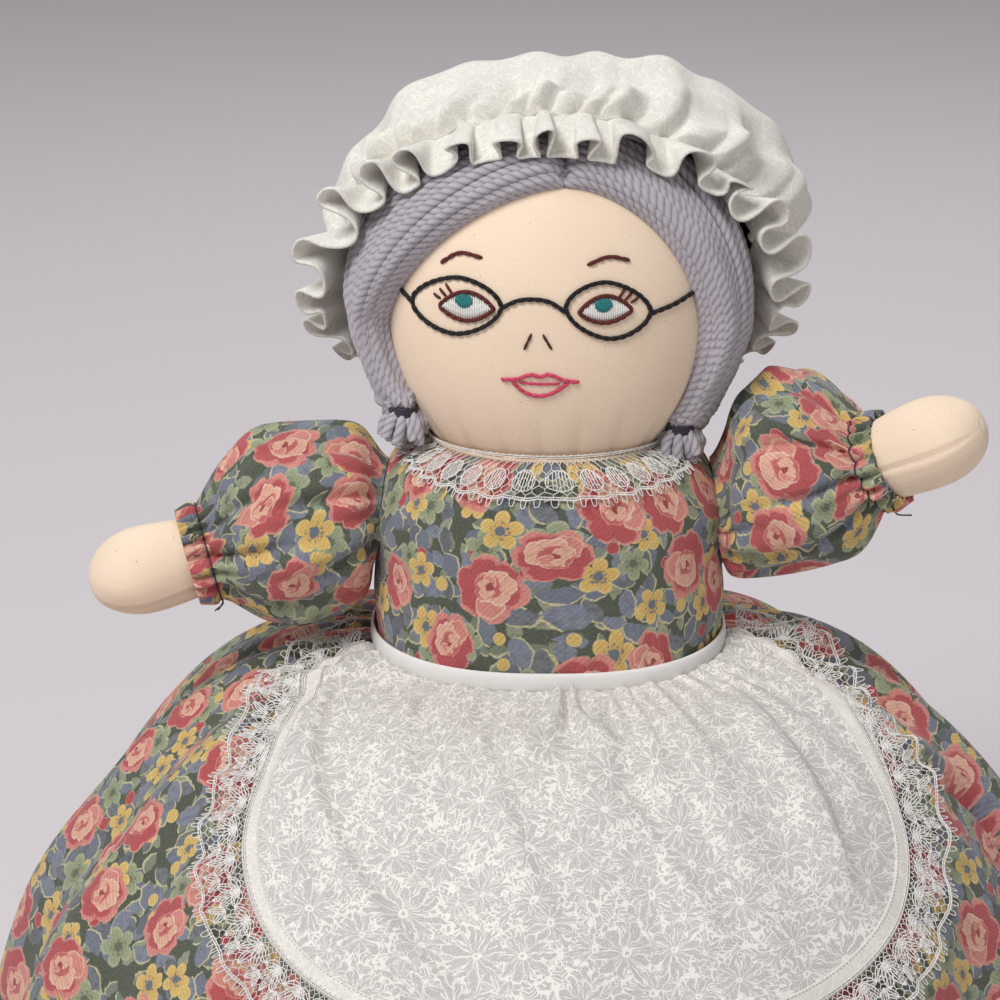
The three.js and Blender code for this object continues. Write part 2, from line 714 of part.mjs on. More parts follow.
function addCap() {
  const columns = 40;
  const flats = Math.cos(Math.PI / columns);
  const elasticSurface = (grow) => (u, v) => {
    const angle = u * 2 * Math.PI;
    const behind = (v - 0.5) * capElasticWidth;
    return capPoint(angle, (hairReach(angle, behind) + clearance) / flats + grow, behind);
  };
  addMesh("mob_cap_elastic", sheet({
    columns,
    rows: 1,
    ring: true,
    outer: elasticSurface(elasticThickness),
    inner: elasticSurface(0),
  }), materials.elastic);

  const ringInner = (angle) => (hairReach(angle, 0) + clearance) / flats + elasticThickness + clearance;
  const profile = new THREE.SplineCurve([
    new THREE.Vector2(1, 0),
    new THREE.Vector2(1 + capPuff * 0.85, capDepth * 0.12),
    new THREE.Vector2(1 + capPuff, capDepth * 0.42),
    new THREE.Vector2(1 + capPuff * 0.4, capDepth * 0.73),
    new THREE.Vector2(0.72, capDepth * 0.94),
    new THREE.Vector2(0, capDepth),
  ]);
  const seam = clearance / 2;
  const crownPoint = (grow) => (u, v) => {
    const angle = u * 2 * Math.PI;
    const spot = profile.getPoint(v);
    const swell = smooth(v * 2);
    const pressed = mix(1, capTopShare, swell * Math.max(0, Math.sin(angle)) ** 2);
    const distance = pressed * spot.x * (ringInner(angle) + cloth) + grow * (1 - 0.6 * swell * v);
    const behind = seam + spot.y + grow * swell;
    return capPoint(angle, v === 1 ? 0 : distance, behind, 1 - smooth(v), capSway * swell);
  };
  addMesh("mob_cap", sheet({
    columns,
    rows: 7,
    ring: true,
    crowned: true,
    outer: crownPoint(0),
    inner: crownPoint(-cloth),
  }), materials.white);

  // The frill leans forward over the brow and stands out at the sides
  const frillPoint = (grow) => (u, v) => {
    const angle = u * 2 * Math.PI;
    const towardBrow = Math.max(0, Math.sin(angle)) ** 2;
    const towardNape = Math.max(0, -Math.sin(angle)) ** 2;
    const outwardShare = 0.6 - 0.4 * towardBrow + 0.35 * towardNape;
    const forwardShare = Math.sqrt(1 - outwardShare ** 2);
    const wave = frillWaveHeight * v * Math.cos(frillWaves * angle);
    const base = ringInner(angle) + cloth + grow;
    const distance = base + v * frillWidth * outwardShare + wave * forwardShare;
    return capPoint(angle, distance, -seam - v * frillWidth * forwardShare + wave * outwardShare);
  };
  addMesh("mob_cap_frill", sheet({
    columns: frillWaves * 4,
    rows: 1,
    ring: true,
    outer: frillPoint(0),
    inner: frillPoint(-cloth),
  }), materials.white);
}

// Skirt: a gathered dome from the waist to the floor. slope is 0 at the waist and a quarter turn at the hem.
const skirtWaistWidth = bodiceWaistHalfWidth + clearance;
const skirtWaistDepth = bodiceWaistHalfDepth + clearance;

function skirtPoint(angle, slope, offset) {
  const gather = smooth(slope / 0.3);
  const foldHeight = gather * mix(waistFold, hemFold, Math.sin(slope));
  const fold = foldHeight * (Math.cos(skirtFolds * angle) * 0.75 + Math.cos((skirtFolds / 4) * 3 * angle) * 0.25);
  const run = Math.sin(slope);
  const lift = offset + fold;
  const [waistX, waistY] = sectionPoint(skirtWaistWidth, skirtWaistDepth, 0, angle, squareness);
  const reach = (hemRadius - skirtWaistWidth) * run + lift * Math.sin(slope);
  const x = mix(waistX, skirtWaistWidth * Math.cos(angle), run) + reach * Math.cos(angle);
  const y = mix(waistY, skirtWaistWidth * Math.sin(angle), run) + reach * Math.sin(angle);
  return [x, y, (waistHeight + lift) * Math.cos(slope)];
}

const hemSlope = Math.acos(hemWidth / waistHeight);

// One half of a layer of the skirt, from side seam to side seam
function skirtHalf(start, low, high) {
  const seam = clearance / 2 / skirtWaistWidth;
  const surface = (offset) => (u, v) => {
    const angle = start + mix(seam, Math.PI - seam, u);
    return skirtPoint(angle, v * hemSlope, offset);
  };
  return sheet({ columns: skirtSteps / 2, rows: 5, ring: false, outer: surface(high), inner: surface(low) });
}

const skirtHalves = { front: Math.PI, back: 0 };

function addSkirt() {
  const layers = {
    skirt_outer: { low: layer, high: layer + cloth, material: materials.calico },
    skirt_lining: { low: -layer - cloth, high: -layer, material: materials.lining },
  };
  Object.entries(layers).forEach(([name, { low, high, material }]) => {
    Object.entries(skirtHalves).forEach(([word, start]) => {
      addMesh(`${name}_${word}`, skirtHalf(start, low, high), material);
    });
  });
  const hemStart = hemSlope + clearance / waistHeight;
  const hemSurface = (offset) => (u, v) => skirtPoint(u * 2 * Math.PI, mix(hemStart, Math.PI / 2, v), offset);
  addMesh("skirt_hem", sheet({
    columns: skirtSteps,
    rows: 1,
    ring: true,
    outer: hemSurface(layer + cloth),
    inner: hemSurface(-layer - cloth),
  }), materials.calico);
}

// Apron: its cloth lies on the skirt. A place on it is an angle from the front and a length down from the waist.
function slopeAtLength(length) {
  const steps = 60;
  let travelled = 0;
  for (let i = 0; i < steps; i += 1) {
    const slope = ((i + 0.5) / steps) * (Math.PI / 2);
    const across = (hemRadius - skirtWaistWidth) * Math.cos(slope);
    const down = waistHeight * Math.sin(slope);
    const step = Math.hypot(across, down) * (Math.PI / 2 / steps);
    if (travelled + step >= length) {
      return (i + (length - travelled) / step) / steps * (Math.PI / 2);
    }
    travelled += step;
  }
  return Math.PI / 2;
}

const radiusAtLength = (length) => skirtWaistWidth + (hemRadius - skirtWaistWidth) * Math.sin(slopeAtLength(length));

const frontAngle = -Math.PI / 2 + apronTurn;
const apronCorner = 80; // degrees round the rim where the side edges start
const apronRoundness = 2.6;

// A point of the apron's rim, with turn from -1 to 1 round its lower edge
function apronRim(turn) {
  const around = turn * apronCorner * degrees;
  const length = apronLength * Math.cos(around) ** (2 / apronRoundness);
  const flare = Math.max(0, 1 - length / apronFlare) ** 2 * (apronWaistSpread - apronSpread);
  const side = apronSpread * power(Math.sin(around), 2 / apronRoundness) + flare * Math.sign(turn);
  return [side * degrees, length];
}

// A block through the front of the skirt that covers the apron and reaches past its rim by a distance
function apronBlock(distance) {
  const nudge = 0.004;
  const reach = 10; // to both sides of the cloth
  const insideWaist = -0.06; // slope of its upper end
  const placeAt = (turn, down) => {
    const [side, length] = apronRim(turn);
    const before = apronRim(Math.max(-1, turn - nudge));
    const after = apronRim(Math.min(1, turn + nudge));
    const radius = radiusAtLength(length);
    const along = new THREE.Vector2((after[0] - before[0]) * radius, after[1] - before[1]).normalize();
    const rimSide = side - (along.y * distance) / radius;
    const rimLength = length + along.x * distance;
    const spread = 1 - (1 - down) ** 1.4;
    return [mix(turn * apronWaistSpread * degrees, rimSide, spread), down * rimLength];
  };
  const surface = (offset) => (u, v) => {
    const [side, length] = placeAt(2 * u - 1, v);
    return skirtPoint(frontAngle + side, v === 0 ? insideWaist : slopeAtLength(length), offset);
  };
  return sheet({ columns: 36, rows: 6, ring: false, outer: surface(reach), inner: surface(-reach) });
}

function addApron() {
  const underside = layer + cloth + clearance;
  const start = skirtHalves.front + apronTurn;
  const panelLayer = skirtHalf(start, underside, underside + cloth);
  addMesh("apron_panel", keepInside(panelLayer, apronBlock(0)), materials.white);
  const laceLayer = skirtHalf(start, underside, underside + laceThickness);
  const edging = cut(keepInside(laceLayer, apronBlock(apronLace)), [apronBlock(2 * clearance)]);
  addMesh("apron_lace", edging, materials.lace);

  const bandLow = underside + cloth + clearance;
  const bandSurface = (grow) => (u, v) => {
    const height = bandLow + v * waistbandWidth;
    return standing(onBodice(height, u * 2 * Math.PI, grow));
  };
  addMesh("apron_waistband", sheet({
    columns: roundSteps,
    rows: 1,
    ring: true,
    outer: bandSurface(clearance + waistbandThickness),
    inner: bandSurface(clearance),
  }), materials.white);
}

addBody("upper", standing);
addBody("lower", hanging);
addHair("upper", standing, materials.greyYarn, false);
addHair("lower", hanging, materials.brownYarn, true);
[["left", -1], ["right", 1]].forEach(([word, side]) => {
  addBunch("upper", standing, side, word, materials.greyYarn);
  addBunch("lower", hanging, side, word, materials.brownYarn);
});
addBodice("upper", standing, materials.calico);
addBodice("lower", hanging, materials.lining);
addCollar("upper", standing);
addCollar("lower", hanging);
addArm("upper", standing, -1, "left", upperLeft, upperPuff, materials.calico);
addArm("upper", standing, 1, "right", upperRight, upperPuff, materials.calico);
addArm("lower", hanging, -1, "left", lowerArm, lowerPuff, materials.lining);
addArm("lower", hanging, 1, "right", lowerArm, lowerPuff, materials.lining);
addCap();
addSkirt();
addApron();

export default doll;
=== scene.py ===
import json
import math

import bmesh
import bpy
import numpy as np
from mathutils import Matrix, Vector


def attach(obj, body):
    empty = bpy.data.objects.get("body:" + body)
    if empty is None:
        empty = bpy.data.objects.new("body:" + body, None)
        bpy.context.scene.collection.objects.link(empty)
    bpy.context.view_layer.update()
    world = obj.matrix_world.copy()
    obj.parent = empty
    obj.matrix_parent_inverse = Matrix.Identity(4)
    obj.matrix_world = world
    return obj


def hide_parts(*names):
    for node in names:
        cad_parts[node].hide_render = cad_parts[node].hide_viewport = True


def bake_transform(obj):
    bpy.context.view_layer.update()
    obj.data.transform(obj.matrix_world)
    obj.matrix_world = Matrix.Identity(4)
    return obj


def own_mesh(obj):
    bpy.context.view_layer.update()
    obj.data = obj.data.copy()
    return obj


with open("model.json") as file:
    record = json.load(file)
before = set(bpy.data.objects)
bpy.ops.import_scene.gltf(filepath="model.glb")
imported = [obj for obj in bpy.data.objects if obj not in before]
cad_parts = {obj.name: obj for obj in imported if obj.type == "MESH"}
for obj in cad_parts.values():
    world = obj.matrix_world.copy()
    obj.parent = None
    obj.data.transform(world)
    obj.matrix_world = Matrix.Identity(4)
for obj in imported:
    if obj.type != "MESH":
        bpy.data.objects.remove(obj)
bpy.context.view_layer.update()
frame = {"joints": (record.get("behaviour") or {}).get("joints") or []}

MM = 0.001
TURN = 2 * math.pi

# Sizes of the solids
WAIST = 178.0
NECK = 72.0
HEAD_CENTRE = 118.0
HEAD_WIDTH = 53.0
HEAD_DEPTH = 39.0
HEAD_RISE = 54.0
HEAD_DROP = 62.7
HAIR_SIDE = 11.5
HAIR_BACK = 9.5
HAIR_TOP = 8.0
HAIR_HEM = 90.0
BUNCH_BACK = -14.0
SHOULDER = 46.0
SQUARENESS = 2.5
TORSO = {"waist": (55.5, 38.0), "chest": (49.0, 35.0)}
BODICE = {"waist": (56.8, 39.3), "chest": (57.0, 40.0)}
ARMHOLE = 15.0
ARM_ROOT = 13.5
WRIST = 12.6
HAND = 14.6
WRIST_AT = 50.0
HAND_AT = 72.0
ARM_LENGTH = 90.0
SLEEVE_FRILL = 7.0
HEM_RADIUS = 180.0
HEM_WIDTH = 8.0
SKIRT_WAIST = (57.1, 39.6)
APRON_LENGTH = 132.0
APRON_SPREAD = math.radians(59)
APRON_WAIST_SPREAD = math.radians(84)
APRON_FLARE = 72.0
APRON_LACE = 17.0
CAP_CENTRE = np.array([0.0, 13.0, 125.0])
CAP_LEAN = math.radians(64)
CAP_DEPTH = 54.0
CAP_PUFF = 0.13
CAP_TOP = 0.85
CAP_SWAY = 10.0
CAP_NAPE_LIFT = 20.0
CAP_FRILL = 16.0

NECK_ANGLE = math.asin((HEAD_CENTRE - NECK) / HEAD_DROP)
NECK_HALF = (HEAD_WIDTH * math.cos(NECK_ANGLE), HEAD_DEPTH * math.cos(NECK_ANGLE))
PIVOT_X = TORSO["chest"][0] + 0.3 + ARM_ROOT
HEM_SLOPE = math.acos(HEM_WIDTH / WAIST)
LIFT = next(j for j in frame["joints"] if j["name"] == "skirt_lift")["range_m"][1] / MM
LIFT_KEEP = 1 - LIFT / (WAIST - HEM_WIDTH)

PLIES = 3
PLY_TWIST = 0.11

DOLLS = {"upper": 1, "lower": -1}
SIDES = {"left": -1, "right": 1}
HALVES = {"front": math.pi, "back": 0.0}


# Small numeric helpers

def smooth(x):
    t = np.clip(x, 0, 1)
    return t * t * (3 - 2 * t)


def bell(x):
    return np.exp(-x ** 2)


def mix(a, b, t):
    return a + (b - a) * t


def signed_power(value, exponent):
    return np.sign(value) * np.abs(value) ** exponent


def unit(v):
    return v / np.maximum(np.linalg.norm(v, axis=-1, keepdims=True), 1e-9)


def stack(*parts):
    """Coordinates side by side in a new last axis."""
    return np.stack(np.broadcast_arrays(*parts), axis=-1).astype(float)


def circle(count):
    """Angles at even steps round a full turn."""
    return np.arange(count) / count * TURN


def angle_from(place, angle):
    """How far an angle lies from a place, at most half a turn either way."""
    return np.angle(np.exp(1j * (angle - place)))


def travel(points):
    """Distance covered along the first axis of a path or a grid."""
    return np.cumsum(np.linalg.norm(np.diff(points, axis=0, prepend=points[:1]), axis=-1), axis=0)


def placed(points, doll):
    """Points in doll heights to the frame, in millimetres."""
    out = np.array(points, float)
    out[..., 2] = WAIST + DOLLS[doll] * out[..., 2]
    return out


def spline(points, count):
    """A smooth curve through a few points, sampled evenly in its parameter."""
    p = np.array(points, float)
    p = np.vstack([2 * p[0] - p[1], p, 2 * p[-1] - p[-2]])
    spans = len(p) - 3
    t = np.linspace(0, spans, count)
    i = np.minimum(t.astype(int), spans - 1)
    f = (t - i)[:, None]
    a, b, c, d = p[i], p[i + 1], p[i + 2], p[i + 3]
    square, cube = 2 * a - 5 * b + 4 * c - d, 3 * b - a - 3 * c + d
    return 0.5 * (2 * b + (c - a) * f + square * f ** 2 + cube * f ** 3)


# Meshes

def new_mesh(name, verts, faces, material, uv=None):
    """A mesh object from millimetre points and quads. A triangle is a quad that repeats its last corner."""
    mesh = bpy.data.meshes.new(name)
    corners = [tuple(f) if f[2] != f[3] else tuple(f[:3]) for f in faces.tolist()]
    mesh.from_pydata((verts * MM).tolist(), [], corners)
    if uv is not None:
        layer = mesh.uv_layers.new(name="cloth")
        index = np.empty(len(mesh.loops), np.int32)
        mesh.loops.foreach_get("vertex_index", index)
        layer.data.foreach_set("uv", (uv[index] * MM).astype(np.float32).ravel())
    mesh.polygons.foreach_set("use_smooth", np.ones(len(mesh.polygons), bool))
    mesh.materials.append(material)
    mesh.update()
    piece = bpy.data.objects.new(name, mesh)
    bpy.context.scene.collection.objects.link(piece)
    return piece


def fan(edge, onward, hub):
    """Triangles from the steps of an edge to a hub."""
    middle = np.full(len(edge), hub)
    return np.stack([edge, onward, middle, middle], axis=-1)


def walls(index):
    """Quads of a tube from the numbers of its corners, ring by ring."""
    onward = np.roll(index, -1, axis=1)
    return np.stack([index[:-1], onward[:-1], onward[1:], index[1:]], axis=-1).reshape(-1, 4)


def grid_normals(p, closed):
    if closed:
        across = np.roll(p, -1, axis=1) - np.roll(p, 1, axis=1)
    else:
        across = np.gradient(p, axis=1)
    return unit(np.cross(across, np.gradient(p, axis=0)))


def grid_piece(name, points, material, uv, thickness=0.0, closed=False, caps=False, crown=False, hole=None,
               outward=None):
    """A cloth or skin from a grid of points, rows by columns. A closed grid joins its last column to its
    first. With a thickness it is a thin closed shell. caps closes both ends of a closed grid with fans,
    crown the far end of a shell, and hole drops faces."""
    p = points
    normals = grid_normals(p, closed)
    if closed:
        p = np.concatenate([p, p[:, :1]], axis=1)
        uv = np.concatenate([uv, uv[:, -1:] + (uv[:, -1:] - uv[:, -2:-1])], axis=1)
        normals = np.concatenate([normals, normals[:, :1]], axis=1)
    rows, cols = p.shape[:2]
    index = np.arange(rows * cols).reshape(rows, cols)
    quads = np.stack([index[:-1, :-1], index[:-1, 1:], index[1:, 1:], index[1:, :-1]], axis=-1)
    quads = quads.reshape(-1, 4)
    verts, normals, uv = p.reshape(-1, 3), normals.reshape(-1, 3), uv.reshape(-1, 2)
    centre = verts.mean(axis=0) if outward is None else outward
    if np.sum(normals * (verts - centre)) < 0:
        normals = -normals
        quads = quads[:, ::-1]
    if hole is not None:
        quads = quads[~hole(verts[quads].mean(axis=1))]
    faces = [quads]
    if thickness:
        count = len(verts)
        verts = np.vstack([verts, verts - normals * thickness])
        uv = np.vstack([uv, uv])
        faces.append(quads[:, ::-1] + count)
        edges = np.concatenate([quads[:, [i, (i + 1) % 4]] for i in range(4)])
        low = np.sort(edges, axis=1)
        _, where, times = np.unique(low[:, 0] * count + low[:, 1], return_index=True, return_counts=True)
        rim = edges[where[times == 1]]
        if closed:
            rim = rim[~np.isin(rim % cols, [0, cols - 1]).all(axis=1)]
        if crown:
            rim = rim[~(rim // cols == rows - 1).all(axis=1)]
        faces.append(np.stack([rim[:, 1], rim[:, 0], rim[:, 0] + count, rim[:, 1] + count], axis=-1))
    rings = [index[0], index[-1]] if caps else []
    if crown:
        rings = [index[-1], index[-1] + rows * cols]
    for ring in rings:
        faces.append(fan(ring[:-1], ring[1:], len(verts)))
        verts = np.vstack([verts, verts[ring].mean(axis=0)])
        uv = np.vstack([uv, uv[ring].mean(axis=0)])
    piece = new_mesh(name, verts, np.concatenate(faces), material, uv)
    if closed:
        weld(piece)
    return piece


def weld(piece):
    """Joins the doubled column of a closed grid and lets the normals agree."""
    work = bmesh.new()
    work.from_mesh(piece.data)
    bmesh.ops.remove_doubles(work, verts=work.verts, dist=1e-7)
    bmesh.ops.recalc_face_normals(work, faces=work.faces)
    work.to_mesh(piece.data)
    work.free()


def spokes(up, side, angle):
    """Directions round threads, from the up and the side direction of each."""
    return up[:, None] * np.cos(angle)[:, None] + side[:, None] * np.sin(angle)[:, None]


class Bundle:
    """Many small tubes and stitches gathered into one mesh."""

    def __init__(self):
        self.verts = []
        self.faces = []
        self.uvs = []
        self.count = 0

    def add(self, verts, faces, uvs):
        self.verts.append(verts)
        self.faces.append(faces + self.count)
        self.uvs.append(uvs)
        self.count += len(verts)

    def add_many(self, verts, faces, uvs):
        """Threads of the same make: verts holds a row for each, and faces those of the first."""
        first = np.arange(len(verts)) * verts[0].size // 3
        self.add(verts.reshape(-1, 3), (faces + first[:, None, None]).reshape(-1, 4), uvs)

    def tube(self, path, radius, normals, sides, plied=False, start=0.0):
        """A closed tube along a path. The normals point away from the side where its coordinates start."""
        n = len(path)
        along = unit(np.gradient(path, axis=0))
        up = unit(normals - along * np.sum(normals * along, axis=1, keepdims=True))
        length = start + travel(path)
        angle = math.pi + circle(sides)
        radii = np.broadcast_to(radius, (n,))[:, None]
        if plied:
            lobes = np.abs(np.cos(PLIES / 2 * (angle - TURN * PLY_TWIST * length[:, None])))
            radii = radii * (0.88 + 0.16 * lobes)
        ring = spokes(up, np.cross(along, up), angle) * radii[..., None]
        verts = np.vstack([(path[:, None] + ring).reshape(-1, 3), path[0], path[-1]])
        index = np.arange(n * sides).reshape(n, sides)
        low = fan(np.roll(index[0], -1), index[0], n * sides)
        high = fan(index[-1], np.roll(index[-1], -1), n * sides + 1)
        uv = stack(np.repeat(length, sides), np.tile(angle, n))
        self.add(verts, np.concatenate([walls(index), low, high]), np.vstack([uv, uv[:1], uv[-1:]]))

    def rods(self, start, end, radius):
        """Straight square threads, one from each start to its end."""
        along = unit(end - start)
        helper = np.where(np.abs(along[:, 2:3]) > 0.9, [[1.0, 0, 0]], [[0, 0, 1.0]])
        up = unit(np.cross(along, helper))
        ring = spokes(up, np.cross(along, up), (np.arange(4) + 0.5) / 4 * TURN) * radius[:, None, None]
        verts = np.concatenate([start[:, None] + ring, end[:, None] + ring], axis=1)
        faces = np.concatenate([walls(np.arange(8).reshape(2, 4)), [[3, 2, 1, 0], [4, 5, 6, 7]]])
        self.add_many(verts, faces, np.zeros((8 * len(start), 2)))

    def stitches(self, start, end, up, radius, rise=0.7):
        """Raised stitches of thread that dip into the cloth at both ends."""
        share = np.array([0.0, 0.12, 0.35, 0.65, 0.88, 1.0])
        size = np.array([0.35, 0.8, 1.0, 1.0, 0.8, 0.35]) * radius
        lift = np.array([-0.2, 0.5, 1.0, 1.0, 0.5, -0.2]) * rise * radius
        rows, sides = len(share), 6
        angle = circle(sides)
        ring = spokes(up, np.cross(unit(end - start), up), angle)
        centre = start[:, None] + (end - start)[:, None] * share[:, None] + up[:, None] * lift[:, None]
        verts = centre[:, :, None] + ring[:, None] * size[:, None, None]
        near = np.array([[5, 4, 3, 2], [5, 2, 1, 0]])
        far = np.array([[0, 1, 2, 3], [0, 3, 4, 5]]) + (rows - 1) * sides
        faces = np.concatenate([walls(np.arange(rows * sides).reshape(rows, sides)), near, far])
        reach = np.outer(np.linalg.norm(end - start, axis=1), share).ravel()
        self.add_many(verts, faces, stack(np.repeat(reach, sides), np.tile(angle, len(reach))))

    def piece(self, name, material):
        verts, faces, uvs = (np.concatenate(part) for part in (self.verts, self.faces, self.uvs))
        return new_mesh(name, verts, faces, material, uvs)


# Materials

class Value:
    """A number in a material's graph. Sums of such numbers become math nodes."""

    def __init__(self, graph, socket):
        self.graph = graph
        self.socket = socket

    def __add__(self, other):
        return self.graph.math("ADD", self, other)

    def __sub__(self, other):
        return self.graph.math("SUBTRACT", self, other)

    def __rsub__(self, other):
        return self.graph.math("SUBTRACT", other, self)

    def __mul__(self, other):
        return self.graph.math("MULTIPLY", self, other)

    def __truediv__(self, other):
        return self.graph.math("DIVIDE", self, other)

    def __pow__(self, other):
        return self.graph.math("POWER", self, other)

    def __abs__(self):
        return self.graph.math("ABSOLUTE", self)

    def sin(self):
        return self.graph.math("SINE", self)

    def cos(self):
        return self.graph.math("COSINE", self)

    def over(self, low, high, first=0.0, last=1.0):
        """Runs from first to last while this number runs from low to high."""
        made = self.graph.node("ShaderNodeMapRange")
        for value, socket in zip((self, low, high, first, last), made.inputs):
            self.graph.plug(value, socket)
        return Value(self.graph, made.outputs[0])


class Graph:
    """Builds a material's nodes from expressions."""

    def __init__(self, name):
        self.material = bpy.data.materials.new(name)
        self.material.use_nodes = True
        self.nodes = self.material.node_tree.nodes
        self.links = self.material.node_tree.links
        self.shader = self.nodes["Principled BSDF"]
        self.uv = self.node("ShaderNodeUVMap", uv_map="cloth").outputs["UV"]

    def node(self, kind, **settings):
        made = self.nodes.new(kind)
        for key, value in settings.items():
            setattr(made, key, value)
        return made

    def plug(self, value, socket):
        if isinstance(value, Value):
            value = value.socket
        if isinstance(value, bpy.types.NodeSocket):
            self.links.new(value, socket)
        else:
            socket.default_value = value

    def math(self, operation, *values):
        made = self.node("ShaderNodeMath", operation=operation)
        for value, socket in zip(values, made.inputs):
            self.plug(value, socket)
        return Value(self, made.outputs[0])

    def vector(self, operation, first, second=None, scale=None):
        made = self.node("ShaderNodeVectorMath", operation=operation)
        self.plug(first, made.inputs[0])
        if second is not None:
            self.plug(second, made.inputs[1])
        if scale is not None:
            made.inputs["Scale"].default_value = scale
        return Value(self, made.outputs["Value"]) if operation == "LENGTH" else made.outputs["Vector"]

    def split(self, vector):
        made = self.node("ShaderNodeSeparateXYZ")
        self.plug(vector, made.inputs[0])
        return [Value(self, socket) for socket in made.outputs]

    def mix(self, factor, below, above):
        made = self.node("ShaderNodeMix", data_type="RGBA")
        for value, place in zip((factor, below, above), (0, 6, 7)):
            self.plug(value, made.inputs[place])
        return made.outputs[2]

    def noise_node(self, vector, scale, detail):
        made = self.node("ShaderNodeTexNoise")
        self.plug(vector, made.inputs["Vector"])
        made.inputs["Scale"].default_value = scale
        made.inputs["Detail"].default_value = detail
        return made

    def noise(self, vector, scale, detail):
        return Value(self, self.noise_node(vector, scale, detail).outputs[0])

    def wobbled(self, vector, scale, reach):
        """The vector, pushed about by a soft noise on the cloth."""
        push = self.vector("SUBTRACT", self.noise_node(self.uv, scale, 1).outputs[1], (0.5, 0.5, 0.5))
        return self.vector("ADD", vector, self.vector("SCALE", push, scale=reach))

    def ramp(self, factor, stops):
        made = self.node("ShaderNodeValToRGB")
        self.plug(factor, made.inputs[0])
        elements = made.color_ramp.elements
        while len(elements) < len(stops):
            elements.new(0.5)
        for element, (position, colour) in zip(elements, stops):
            element.position = position
            element.color = colour
        return made.outputs[0]

    def weave(self, pitch, diagonal=False):
        """Height of a woven thread pattern, from 0 to 1, with the pitch in millimetres."""
        x, y, _ = self.split(self.vector("SCALE", self.uv, scale=TURN / (pitch * MM) / 2))
        if diagonal:
            x, y = x + y, (x - y) * 0.35
        return self.math("MAXIMUM", abs(x.sin()), abs(y.sin()))

    def finish(self, colour, height, strength, distance, roughness=0.9, sheen=0.15):
        bump = self.node("ShaderNodeBump")
        bump.inputs["Strength"].default_value = strength
        bump.inputs["Distance"].default_value = distance * MM
        self.plug(height, bump.inputs["Height"])
        looks = {"Base Color": colour, "Normal": bump.outputs[0], "Roughness": roughness,
                 "Specular IOR Level": 0.2, "Sheen Weight": sheen, "Sheen Roughness": 0.6}
        for name, value in looks.items():
            self.plug(value, self.shader.inputs[name])
        return self.material


def paint(red, green, blue):
    """A colour as seen, from 0 to 255, as linear light."""
    def linear(value):
        v = value / 255
        return v / 12.92 if v <= 0.04045 else ((v + 0.055) / 1.055) ** 2.4

    return (linear(red), linear(green), linear(blue), 1.0)


def shade(colour, factor):
    return tuple(c * factor for c in colour[:3]) + (1.0,)


def muslin():
    g = Graph("muslin")
    base = g.mix(g.noise(g.uv, 60, 3), paint(240, 216, 188), paint(247, 226, 202))
    weave = g.weave(0.55)
    base = g.mix((1 - weave) * 0.5, base, paint(214, 180, 146))
    slub = g.noise(g.vector("MULTIPLY", g.uv, (2600, 300, 1)), 1, 1)
    base = g.mix(slub.over(0.62, 0.8, 0, 0.35), base, paint(222, 192, 160))
    fleck = g.noise(g.uv, 900, 1)
    base = g.mix(fleck.over(0.765, 0.79), base, paint(150, 105, 70))
    return g.finish(base, weave, 0.35, 0.25)


def cells(g, spacing, shift, randomness):
    """Scattered motif places: offset from the nearest one in millimetres, and its three random numbers."""
    place = g.vector("ADD", g.vector("SCALE", g.uv, scale=1 / (spacing * MM)), shift)
    voronoi = g.node("ShaderNodeTexVoronoi", voronoi_dimensions="2D", feature="F1")
    g.plug(place, voronoi.inputs["Vector"])
    voronoi.inputs["Scale"].default_value = 1
    voronoi.inputs["Randomness"].default_value = randomness
    offset = g.vector("SCALE", g.vector("SUBTRACT", place, voronoi.outputs["Position"]), scale=spacing)
    return offset, g.split(voronoi.outputs["Color"])


def polar(g, offset, turn):
    x, y, _ = g.split(offset)
    return g.vector("LENGTH", offset), g.math("ARCTAN2", y, x) + turn * TURN


